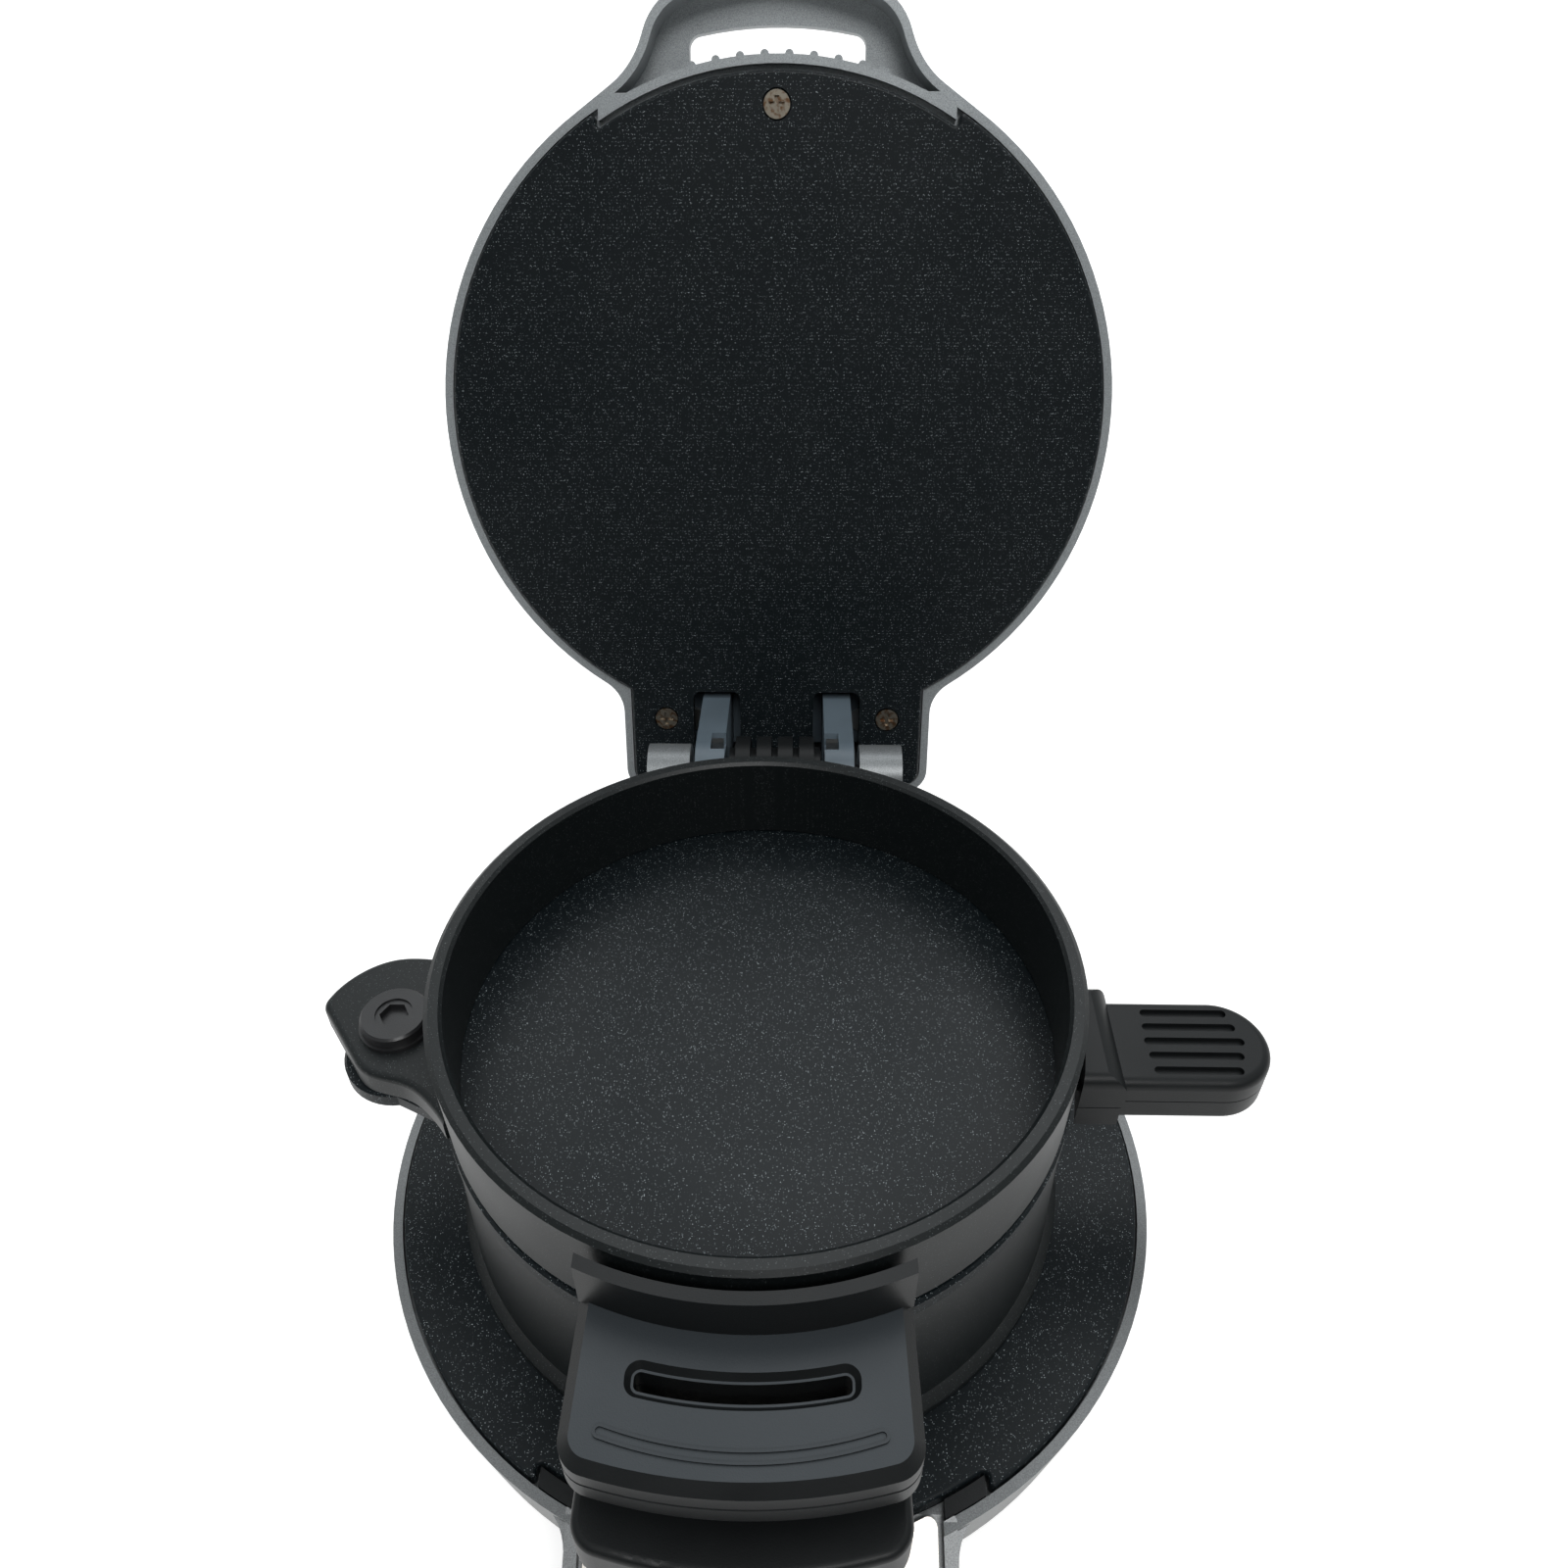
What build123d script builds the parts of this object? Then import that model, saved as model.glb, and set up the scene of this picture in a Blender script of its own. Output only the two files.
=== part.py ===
"""Single-muffin breakfast sandwich maker: base, hinged lid, two lift-up rings and a swing-out plate.

The rings stand on the +Z axis, the table is z = 0, the front handles point to -Y and the hinge is
at +Y. Everything is in millimetres. Lid pieces are drawn closed and then swung open.
"""
import math
import os

from build123d import *

os.makedirs("parts", exist_ok=True)

# ---- driving dimensions ----------------------------------------------------------------------
ring_bore = 106.4          # inside of the rings, a little over a 100 mm muffin
ring_wall = 2.8
housing_r = 74.4           # rim radius of base and lid
base_h = 21.3              # base rim above the table
bottom_ring_h = 34.8
top_ring_h = 18.6
cook_plate_t = 3.0
open_angle = 107.2         # lid opening from closed
lid_depth = 33.0           # lid cover height above its rim
shell_t = 2.4              # housing walls
plate_t = 3.2              # heating plate thickness
rod_r = 2.0                # both hinge rods
screw_r = 1.5              # small screws
ring_side = -1.8           # the rings stand over to one side in the play of their rod

# ---- clearances ------------------------------------------------------------------------------
seat_gap = 0.4             # ring foot to lower plate, lid plate to ring rim
slide_gap = 0.5            # cooking plate to either ring
run_gap = 0.06             # radial running fit on rods and pivot
part_gap = 1.0             # least gap between moving pieces that only pass each other

# ---- derived sizes ---------------------------------------------------------------------------
ring_ri = ring_bore / 2
ring_ro = ring_ri + ring_wall
foot_h = 3.0                                   # rubber feet
plate_face = base_h + 0.9                      # lower heating plate face
bring_z0 = plate_face + seat_gap               # bottom ring
bring_z1 = bring_z0 + bottom_ring_h
cook_z0 = bring_z1 + slide_gap                 # cooking plate
cook_z1 = cook_z0 + cook_plate_t
tring_z0 = cook_z1 + slide_gap                 # top ring
ring_top = tring_z0 + top_ring_h
lid_face = ring_top + 0.5                      # upper heating plate face, lid closed
lid_rim = lid_face + 1.5                       # lid cover rim, lid closed
hinge_y = housing_r + 1.0                      # lid hinge axis
hinge_z = lid_face - 21.8
rod_y = ring_ro + 6.6                          # ring hinge axis
rod_z = tring_z0 - 0.4                         # level with the foot of the top ring
barrel_r = 6.6
arm_r = 8.1                                    # lid arm end radius
arm_x0, arm_x1 = 11.3, 17.9                    # lid arm inner and outer faces
barrel_x0, barrel_x1 = 19.2, 28.8              # hinge barrels
knuckle_r = 3.8
bring_arm_x = (3.5, 8.5)
tring_arm_x = (11.0, 17.0)
post_x = (19.4, 26.0)
neck_w = housing_r / 2 + 0.3                   # half width of the lid neck
neck_y = hinge_y + 15.0
notch_w = housing_r / 2 - 0.4                  # half width of the front notch in the plates
pivot_x, pivot_y = -(ring_ro + 8.1), -3.6      # cooking plate pivot
grip_y = pivot_y - 0.2                         # middle of the cooking plate's handle
pivot_r = 3.0
ear_t = 5.0
handle_y = -(ring_ro + 24.6)                   # front end of the ring handles
handle_w = 24.4                                # half width of the ring handles
lower_reach = 5.0                              # the lower one is this much longer
lower_w = 23.4                                 # and a little narrower
foot_pcd = 112.0
foot_r = 6.5

hinge_axis = Axis((0, hinge_y, hinge_z), (1, 0, 0))


def save(builder, name, lid=False, ring=False):
    """Write one piece; lid pieces are swung open, ring pieces stand over to their side."""
    shape = builder.part.rotate(hinge_axis, -open_angle) if lid else builder.part
    if ring:
        shape = shape.moved(Location((ring_side, 0, 0)))
    shape.label = name
    export_step(shape, f"parts/{name}.step")


def side(x):
    """Sketch plane across X whose local axes are the object's Y and Z."""
    return Plane(origin=(x, 0, 0), x_dir=(0, 1, 0), z_dir=(1, 0, 0))


def level(z):
    return Plane.XY.offset(z)


# ==== base ====================================================================================
draft = math.degrees(math.atan2(2.6, base_h - foot_h))
base_r0 = housing_r - 2.6                      # outside of the base at the bottom cover
seat_r = housing_r - 1.8                       # plate pocket
plate_r = seat_r - 0.4
notch_r = plate_r - 2.9                        # plate edge inside the front notch
band_r = notch_r + 1.3                         # inside of the lid's rim band beyond its notch
notch_y = math.sqrt(notch_r ** 2 - notch_w ** 2) - 2.0
ledge_z = plate_face - plate_t                 # heating plate sits here
tower_y0 = ring_ro + 4.0                       # rear edge of the lower plate, front of the neck
base_neck_w = 33.0
base_neck_y = hinge_y + 10.0
neck_roof_z = base_h - 1.3
nose_w = 31.2                                  # half width of the front nose
nose_y = -(housing_r + 10.6)
nose_tip_z = foot_h + 8.0                      # top of the nose at its front edge
nose_r = 6.0                                   # its front corners
web_drop = 2.0                                 # the nose blends into the wall this far below its top
bead_w = 2.2                                   # rounded frame around the front panel
recess_w = nose_w + 0.4 - bead_w
recess_y = nose_y + bead_w
panel_gap = 0.9
panel_w = recess_w - panel_gap
panel_t = 2.2
roof_t = 2.8
cover_t = 2.0                                  # bottom cover
wall_r = base_r0 - shell_t                     # inside of the base wall
post_r = wall_r - 3.4                          # screw posts reach into the wall
post_angles = (30, 150, 210, 330)
lamp_x, lamp_y = 12.0, nose_y + 8.0
lip_y = -(seat_r - 6.6)                        # where the nose leaves the rim
slope_rise = (base_h - nose_tip_z) / (lip_y - nose_y)
nose_top = Plane(origin=(0, lip_y, base_h), x_dir=(1, 0, 0), z_dir=(0, -slope_rise, 1))
slope = nose_top.offset(-panel_t - 0.5)        # floor of the panel recess


def polar(r, angle):
    return (r * math.cos(math.radians(angle)), r * math.sin(math.radians(angle)))


with BuildSketch() as notch_sketch:
    with Locations((0, -notch_y - 50)):
        Rectangle(2 * notch_w, 100)
    Circle(band_r, mode=Mode.SUBTRACT)

# outline of a heating plate: round, stepped in over the front notch
with BuildSketch() as plate_plan:
    Circle(plate_r)
    with Locations((0, -notch_y - 50)):
        Rectangle(2 * notch_w + 1.0, 100, mode=Mode.SUBTRACT)
    Circle(notch_r)
    fillet([v for v in vertices() if -notch_r + 5 < v.Y < -notch_y + 1], 0.8)

with BuildSketch() as cavity_sketch:
    Circle(wall_r)
    with Locations((0, tower_y0 + 50)):
        Rectangle(300, 100, mode=Mode.SUBTRACT)
    with Locations((0, (base_neck_y - shell_t + 50) / 2)):
        RectangleRounded(2 * (base_neck_w - shell_t), base_neck_y - shell_t - 50, 3)
    with Locations((0, (nose_y + shell_t - 60) / 2)):
        Rectangle(2 * (nose_w - shell_t - 2.0), -60 - nose_y - shell_t)

# sloping recess for the front panel, open to the plate pocket behind it
with BuildPart() as front_recess:
    with BuildSketch(level(foot_h)):
        with Locations((0, recess_y + 30)):
            RectangleRounded(2 * recess_w, 60, nose_r - bead_w)
        Circle(wall_r, mode=Mode.SUBTRACT)
    extrude(amount=40)
    split(bisect_by=slope, keep=Keep.TOP)

# front nose: a web blended into the round wall, and a rounded bead around the recess
with BuildPart() as nose_web:
    with BuildSketch(level(foot_h)):
        Circle(base_r0 - 0.4)
        with Locations((0, (nose_y + 1.2 - 40) / 2)):
            Rectangle(2 * (nose_w - 1.2), -40 - nose_y - 1.2)
        fillet(vertices().group_by(Axis.Y)[0], nose_r)
        fillet([v for v in vertices() if abs(abs(v.X) - nose_w + 1.2) < 0.1 and v.Y > nose_y + 9], 9)
        with Locations((0, 200 - 40)):
            Rectangle(400, 400, mode=Mode.SUBTRACT)
    extrude(amount=base_h - web_drop - foot_h, taper=-draft)
    split(bisect_by=nose_top.offset(-web_drop), keep=Keep.BOTTOM)

with BuildPart() as nose_bead:
    with BuildSketch(level(foot_h + 4)):
        with Locations((0, nose_y + 30)):
            RectangleRounded(2 * (nose_w + 0.4), 60, nose_r)
        with Locations((0, recess_y + 60)):
            RectangleRounded(2 * recess_w, 120, nose_r - bead_w, mode=Mode.SUBTRACT)
        with Locations((0, lip_y + 50.5)):
            Rectangle(300, 100, mode=Mode.SUBTRACT)
    extrude(amount=40)
    split(bisect_by=nose_top.offset(0.2), keep=Keep.BOTTOM)
    fillet(nose_bead.faces().sort_by(Axis.Z)[-1].edges().filter_by(lambda e: e.length > 3.0), 0.95)

with BuildPart() as base_housing:
    with BuildSketch(level(foot_h)):
        Circle(base_r0)
    extrude(amount=base_h - foot_h, taper=-draft)
    # rear neck that carries the hinge tower
    with BuildSketch(level(foot_h)):
        with Locations((0, (base_neck_y + 30) / 2)):
            RectangleRounded(2 * base_neck_w, base_neck_y - 30, 5)
    extrude(amount=neck_roof_z - foot_h)
    add(nose_web.part)
    add(front_recess.part, mode=Mode.SUBTRACT)
    add(nose_bead.part)
    # pocket and ledge for the heating plate, then the main cavity
    with BuildSketch(level(ledge_z)):
        Circle(seat_r)
        with Locations((0, tower_y0 + 50)):
            Rectangle(300, 100, mode=Mode.SUBTRACT)
    extrude(amount=20, mode=Mode.SUBTRACT)
    with BuildSketch(level(foot_h)):
        Circle(wall_r)
        with Locations((0, tower_y0 + 50)):
            Rectangle(300, 100, mode=Mode.SUBTRACT)
    extrude(amount=20, mode=Mode.SUBTRACT)
    with BuildSketch(level(foot_h)):
        add(cavity_sketch.sketch)
    extrude(amount=7.5, mode=Mode.SUBTRACT)
    with BuildSketch(level(foot_h)):
        with Locations((0, (base_neck_y - shell_t + 50) / 2)):
            RectangleRounded(2 * (base_neck_w - shell_t), base_neck_y - shell_t - 50, 3)
    extrude(amount=neck_roof_z - roof_t - foot_h, mode=Mode.SUBTRACT)
    # a hole for each lamp
    with BuildSketch(level(foot_h + 3.5)):
        with Locations((-lamp_x, lamp_y), (lamp_x, lamp_y)):
            Circle(3.4)
    extrude(amount=30, mode=Mode.SUBTRACT)
    # screw posts for the bottom cover
    with BuildSketch(level(foot_h + cover_t)):
        with Locations(*[polar(post_r, a) for a in post_angles]):
            Circle(4.0)
            Circle(screw_r, mode=Mode.SUBTRACT)
    extrude(amount=ledge_z - foot_h - cover_t)
    # level seat for the hinge tower
    with BuildSketch(level(neck_roof_z)):
        with Locations((0, (tower_y0 + 2.0 + base_neck_y + 5) / 2)):
            Rectangle(2 * (barrel_x1 + 1.7), base_neck_y + 5 - tower_y0 - 2.0)
    extrude(amount=10, mode=Mode.SUBTRACT)
    # wire duct up into the tower, cable outlet at the back
    with BuildSketch(level(foot_h + 4)):
        with Locations((0, hinge_y)):
            Rectangle(10, 8)
    extrude(amount=30, mode=Mode.SUBTRACT)
    with BuildSketch(Plane.XZ.offset(-base_neck_y - 1)):
        with Locations((0, foot_h + 7.5)):
            Circle(4.0)
    extrude(amount=6, mode=Mode.SUBTRACT)
    with BuildSketch(level(foot_h + 6)):
        with Locations((-24, hinge_y - 3), (24, hinge_y - 3)):
            Circle(screw_r)
    extrude(amount=30, mode=Mode.SUBTRACT)
save(base_housing, "base_housing")

with BuildPart() as bottom_cover:
    with BuildSketch(level(foot_h)):
        add(cavity_sketch.sketch)
        offset(amount=-0.2)
        with Locations(*[polar(post_r, a) for a in post_angles]):
            Circle(screw_r, mode=Mode.SUBTRACT)
        with PolarLocations(foot_pcd / 2, 4, start_angle=45):
            Circle(2.4, mode=Mode.SUBTRACT)
        with Locations((-22, hinge_y - 4), (22, hinge_y - 4)):
            Circle(2.4, mode=Mode.SUBTRACT)
    extrude(amount=cover_t)
    # cooling slots
    with BuildSketch(level(foot_h)):
        with GridLocations(0, 9, 1, 5):
            SlotOverall(36, 3)
    extrude(amount=cover_t, mode=Mode.SUBTRACT)
save(bottom_cover, "bottom_cover")

with BuildPart() as rubber_feet:
    with BuildSketch(level(0)):
        with PolarLocations(foot_pcd / 2, 4, start_angle=45):
            Circle(foot_r)
    extrude(amount=foot_h)
    with BuildSketch(level(foot_h)):
        with PolarLocations(foot_pcd / 2, 4, start_angle=45):
            Circle(2.4)
    extrude(amount=cover_t + 1.5)
save(rubber_feet, "rubber_feet")

with BuildPart() as rear_feet:
    with BuildSketch(level(0)):
        with Locations((-22, hinge_y - 4), (22, hinge_y - 4)):
            SlotOverall(16, 8)
    extrude(amount=foot_h)
    with BuildSketch(level(foot_h)):
        with Locations((-22, hinge_y - 4), (22, hinge_y - 4)):
            Circle(2.4)
    extrude(amount=cover_t + 1.5)
save(rear_feet, "rear_feet")

with BuildPart() as bottom_screws:
    with BuildSketch(level(foot_h)):
        with Locations(*[polar(post_r, a) for a in post_angles]):
            Circle(screw_r)
    extrude(amount=8)
    with BuildSketch(level(foot_h - 1.2)):
        with Locations(*[polar(post_r, a) for a in post_angles]):
            Circle(2.8)
            RectangleRounded(3.2, 0.9, 0.2, mode=Mode.SUBTRACT)
    extrude(amount=1.2)
save(bottom_screws, "bottom_screws")

# ---- front panel and lamps -------------------------------------------------------------------
with BuildPart() as front_panel:
    with BuildSketch(level(foot_h)):
        with Locations((0, recess_y + panel_gap + 30)):
            RectangleRounded(2 * panel_w, 60, nose_r - bead_w - panel_gap)
        Circle(notch_r + 1.5, mode=Mode.SUBTRACT)
        fillet([v for v in vertices() if v.Y > lip_y - 3], 1.5)
        with Locations((-lamp_x, lamp_y), (lamp_x, lamp_y)):
            Circle(3.2, mode=Mode.SUBTRACT)
    extrude(amount=40)
    split(bisect_by=slope, keep=Keep.TOP)
    split(bisect_by=slope.offset(panel_t), keep=Keep.BOTTOM)
save(front_panel, "front_panel")

# dark fillers in the corners of the notch, beside the panel
with BuildPart() as notch_fillers:
    with BuildSketch(level(ledge_z)):
        Circle(seat_r - 0.3)
        Circle(notch_r + 0.4, mode=Mode.SUBTRACT)
        with Locations((0, 100 - notch_y)):
            Rectangle(300, 200, mode=Mode.SUBTRACT)
        with Locations((-notch_w - 50, 0), (notch_w + 50, 0)):
            Rectangle(100, 300, mode=Mode.SUBTRACT)
        with Locations((0, nose_y)):
            Rectangle(2 * recess_w + 0.8, 100, mode=Mode.SUBTRACT)
    extrude(amount=plate_t - 1.2)
save(notch_fillers, "notch_fillers")

lens_top = slope.offset(panel_t + 0.6)
for lens_name, lens_side in (("power_light_lens", -1), ("ready_light_lens", 1)):
    with BuildPart() as lens:
        with BuildSketch(level(foot_h + 7.6)):
            with Locations((lens_side * lamp_x, lamp_y)):
                Circle(3.1)
        extrude(amount=20)
        split(bisect_by=lens_top, keep=Keep.BOTTOM)
    save(lens, lens_name)

board_z = foot_h + cover_t + 0.9
with BuildPart() as lamp_board:
    with BuildSketch(level(board_z)):
        with Locations((0, nose_y + 11.0)):
            Rectangle(40, 13)
    extrude(amount=1.4)
save(lamp_board, "lamp_board")

with BuildPart() as indicator_lamps:
    with BuildSketch(level(board_z + 1.4)):
        with Locations((-lamp_x, lamp_y), (lamp_x, lamp_y)):
            Circle(1.8)
    extrude(amount=foot_h + 7.6 - board_z - 1.4 - 0.3)
save(indicator_lamps, "indicator_lamps")

# ---- lower heating plate, heater, shield and controls ---------------------------------------
head_r = screw_r + 1.2                         # pan heads of the plate screws
plate_screws = [(0, -(notch_r - 5.8)), (-ring_ri * 0.752, ring_ri), (ring_ri * 0.752, ring_ri)]
with BuildPart() as lower_heating_plate:
    with BuildSketch(level(ledge_z)):
        add(plate_plan.sketch)
        with Locations((0, tower_y0 + 49.7)):
            Rectangle(300, 100, mode=Mode.SUBTRACT)
    extrude(amount=plate_t)
    fillet(lower_heating_plate.faces().sort_by(Axis.Z)[-1].edges(), 0.6)
    for px, py in plate_screws:
        with BuildSketch(level(plate_face - 1.2)):
            with Locations((px, py)):
                Circle(head_r + 0.35)
        extrude(amount=2, mode=Mode.SUBTRACT)
        with BuildSketch(level(ledge_z)):
            with Locations((px, py)):
                Circle(screw_r)
        extrude(amount=plate_t, mode=Mode.SUBTRACT)
save(lower_heating_plate, "lower_heating_plate")


def screw_set(points, z, up):
    """Pan-head screws on the level z with their shanks pointing up (1) or down (-1)."""
    with BuildPart() as screws:
        with BuildSketch(level(z)):
            with Locations(*points):
                Circle(head_r)
        extrude(amount=-1.2 * up)
        with BuildSketch(level(z - 1.2 * up)):
            with Locations(*points):
                Rectangle(3.2, 0.9)
                Rectangle(0.9, 3.2)
        extrude(amount=0.7 * up, mode=Mode.SUBTRACT)
        with BuildSketch(level(z)):
            with Locations(*points):
                Circle(screw_r)
        extrude(amount=6.0 * up)
    return screws


save(screw_set(plate_screws, plate_face - 1.2, -1), "lower_plate_screws")

heater_r, tube_r = ring_ri - 9.2, 3.2
shield_r = wall_r - 13.4
with BuildPart() as lower_heating_element:
    with BuildSketch(Plane.XZ):
        with Locations((heater_r, ledge_z - tube_r)):
            Circle(tube_r)
    revolve(axis=Axis.Z, revolution_arc=300)
lower_element = lower_heating_element.part.rotate(Axis.Z, 120)
lower_element.label = "lower_heating_element"
export_step(lower_element, "parts/lower_heating_element.step")

shield_z = ledge_z - 2 * tube_r - 1.0
with BuildPart() as lower_heat_shield:
    with BuildSketch(level(shield_z)):
        Circle(shield_r)
        with Locations((0, shield_r)):
            Rectangle(30, 40, mode=Mode.SUBTRACT)
        Circle(9, mode=Mode.SUBTRACT)
    extrude(amount=-0.8)
save(lower_heat_shield, "lower_heat_shield")

with BuildPart() as lower_thermostat:
    with BuildSketch(level(ledge_z)):
        Circle(7.5)
    extrude(amount=-7.0)
    with BuildSketch(level(ledge_z - 2)):
        Rectangle(22, 5)
    extrude(amount=-1.2)
save(lower_thermostat, "lower_thermostat")

with BuildPart() as thermal_fuse:
    with BuildSketch(Plane.YZ.offset(18)):
        with Locations((12, ledge_z - 2.0)):
            Circle(2.0)
    extrude(amount=11)
save(thermal_fuse, "thermal_fuse")

with BuildPart() as terminal_block:
    with BuildSketch(level(foot_h + cover_t + 0.6)):
        with Locations((17, hinge_y - 16)):
            Rectangle(18, 9)
    extrude(amount=6.5)
    with BuildSketch(level(foot_h + cover_t + 4.6)):
        with Locations((11, hinge_y - 16), (17, hinge_y - 16), (23, hinge_y - 16)):
            Circle(1.6)
    extrude(amount=3, mode=Mode.SUBTRACT)
save(terminal_block, "terminal_block")

with BuildPart() as cord_bushing:
    with BuildSketch(Plane.XZ.offset(-base_neck_y)):
        with Locations((0, foot_h + 7.5)):
            Circle(6.5)
    extrude(amount=-2.5)
    with BuildSketch(Plane.XZ.offset(-base_neck_y - 2.5)):
        with Locations((0, foot_h + 7.5)):
            Circle(4.8)
    extrude(amount=-7)
    with BuildSketch(Plane.XZ.offset(-base_neck_y)):
        with Locations((0, foot_h + 7.5)):
            Circle(4.0)
    extrude(amount=shell_t + 1.0)
    with BuildSketch(Plane.XZ.offset(-base_neck_y - 12)):
        with Locations((0, foot_h + 7.5)):
            Circle(2.6)
    extrude(amount=20, mode=Mode.SUBTRACT)
save(cord_bushing, "cord_bushing")

# ---- hinge tower -----------------------------------------------------------------------------
web_top = hinge_z - arm_r - 4.2
tower_rear = base_neck_y - 2.0
post_w = post_x[1] - post_x[0]
with BuildPart() as hinge_tower:
    with BuildSketch(level(neck_roof_z)):
        with Locations((0, (tower_y0 + 2.2 + tower_rear) / 2)):
            RectangleRounded(2 * (barrel_x1 + 1.5), tower_rear - tower_y0 - 2.2, 2)
    extrude(amount=3.0)
    for s in (-1, 1):
        # hinge barrel on its pillar
        with BuildSketch(side(min(s * barrel_x0, s * barrel_x1))):
            with Locations((hinge_y, hinge_z)):
                Circle(barrel_r)
            with Locations((hinge_y, (hinge_z + neck_roof_z) / 2)):
                Rectangle(2 * barrel_r, hinge_z - neck_roof_z)
        extrude(amount=barrel_x1 - barrel_x0)
        # cradle post in front of the pillar
        with BuildSketch(side(min(s * post_x[0], s * post_x[1]))):
            Polygon((rod_y - 4.2, neck_roof_z + 8), (tower_y0 + 3, neck_roof_z + 1),
                    (hinge_y - 1, neck_roof_z + 1), (hinge_y - 1, hinge_z),
                    (rod_y + 4.2, rod_z - 4), (rod_y + 4.2, rod_z + 2.6),
                    (rod_y - 4.2, rod_z + 3.4), align=None)
        extrude(amount=post_w)
    # web under the lid arms; its rear edge is the stop of the open lid
    with BuildSketch(side(-barrel_x0 - 1)):
        Polygon((tower_y0 + 7.4, neck_roof_z + 1), (tower_rear - 1, neck_roof_z + 1),
                (tower_rear - 1, web_top), (tower_y0 + 7.4, web_top), align=None)
    extrude(amount=2 * barrel_x0 + 2)
    # open-top cradles, rod bore, wire duct, tower screws
    with BuildSketch(side(-post_x[1] - 1)):
        with Locations((rod_y, rod_z)):
            Circle(rod_r + run_gap)
        with Locations((rod_y, rod_z + 10)):
            Rectangle(2 * (rod_r + run_gap), 20)
    extrude(amount=2 * post_x[1] + 2, mode=Mode.SUBTRACT)
    with BuildSketch(side(-barrel_x1 + 2)):
        with Locations((hinge_y, hinge_z)):
            Circle(rod_r)
    extrude(amount=2 * barrel_x1, mode=Mode.SUBTRACT)
    with BuildSketch(level(0)):
        with Locations((0, hinge_y)):
            Rectangle(10, 8)
    extrude(amount=web_top + 1, mode=Mode.SUBTRACT)
    with BuildSketch(level(0)):
        with Locations((-24, hinge_y - 3), (24, hinge_y - 3)):
            Circle(screw_r)
    extrude(amount=neck_roof_z + 6, mode=Mode.SUBTRACT)
save(hinge_tower, "hinge_tower")

tower_points = [(-24, hinge_y - 3), (24, hinge_y - 3)]
with BuildPart() as tower_screws:
    with BuildSketch(level(neck_roof_z - roof_t)):
        with Locations(*tower_points):
            Circle(3.0)
    extrude(amount=-1.6)
    with BuildSketch(level(neck_roof_z - roof_t)):
        with Locations(*tower_points):
            Circle(screw_r)
    extrude(amount=roof_t + 5.5)
save(tower_screws, "tower_screws")

with BuildPart() as lid_hinge_rod:
    with BuildSketch(side(-barrel_x1 + 2)):
        with Locations((hinge_y, hinge_z)):
            Circle(rod_r)
    extrude(amount=2 * barrel_x1 - 2)
save(lid_hinge_rod, "lid_hinge_rod")

# ribbed guard over the wires between the lid arms
guard_w = 2 * (arm_x0 - part_gap)
rib_w, rib_pitch, rib_r = 3.3, 4.8, barrel_r + 1.8
with BuildPart() as cable_guard:
    with BuildSketch(side(-guard_w / 2)):
        with Locations((hinge_y, hinge_z)):
            Circle(rib_r - 2.6)
        with Locations((hinge_y, (hinge_z + web_top) / 2)):
            Rectangle(2 * (rib_r - 2.6), hinge_z - web_top)
    extrude(amount=guard_w)
    for i in range(4):
        with BuildSketch(side((i - 1.5) * rib_pitch - rib_w / 2)):
            with Locations((hinge_y, hinge_z)):
                Circle(rib_r)
        extrude(amount=rib_w)
    with BuildSketch(side(-guard_w)):
        with Locations((hinge_y, hinge_z)):
            Circle(rod_r)
    extrude(amount=2 * guard_w, mode=Mode.SUBTRACT)
    with BuildSketch(level(web_top - 1)):
        with Locations((0, hinge_y)):
            Rectangle(8, 6)
    extrude(amount=hinge_z - web_top - rod_r - 0.5, mode=Mode.SUBTRACT)
save(cable_guard, "cable_guard")

with BuildPart() as base_leads:
    for dx in (-2.6, 0.0, 2.6):
        with BuildSketch(level(foot_h + 9)):
            with Locations((dx, hinge_y)):
                Circle(1.0)
        extrude(amount=hinge_z - rod_r - 1.6 - foot_h - 9)
save(base_leads, "base_leads")

# ==== rings ===================================================================================
flange_w = 18.0                                # half width of the handle flanges
flange_y = -(ring_ro + 8.0)
flange_t = 3.2
flange_z = bring_z1 - 10.1                     # underside of the lower handle and its flange
handle_screws = [(-13, flange_y + 3.6), (13, flange_y + 3.6)]


clip_x = post_x[1] + abs(ring_side) + 0.4      # clips keep the rod between the posts with side play
with BuildPart() as ring_hinge_rod:
    with BuildSketch(side(-clip_x - 1.9)):
        with Locations((rod_y, rod_z)):
            Circle(rod_r)
    extrude(amount=2 * clip_x + 3.8)
save(ring_hinge_rod, "ring_hinge_rod", ring=True)

with BuildPart() as rod_clips:
    for s in (-1, 1):
        with BuildSketch(side(min(s * clip_x, s * (clip_x + 0.9)))):
            with Locations((rod_y, rod_z)):
                Circle(rod_r + 1.3)
        extrude(amount=0.9)
    with BuildSketch(side(-60)):
        with Locations((rod_y, rod_z)):
            Circle(rod_r)
    extrude(amount=120, mode=Mode.SUBTRACT)
save(rod_clips, "rod_clips", ring=True)

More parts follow.
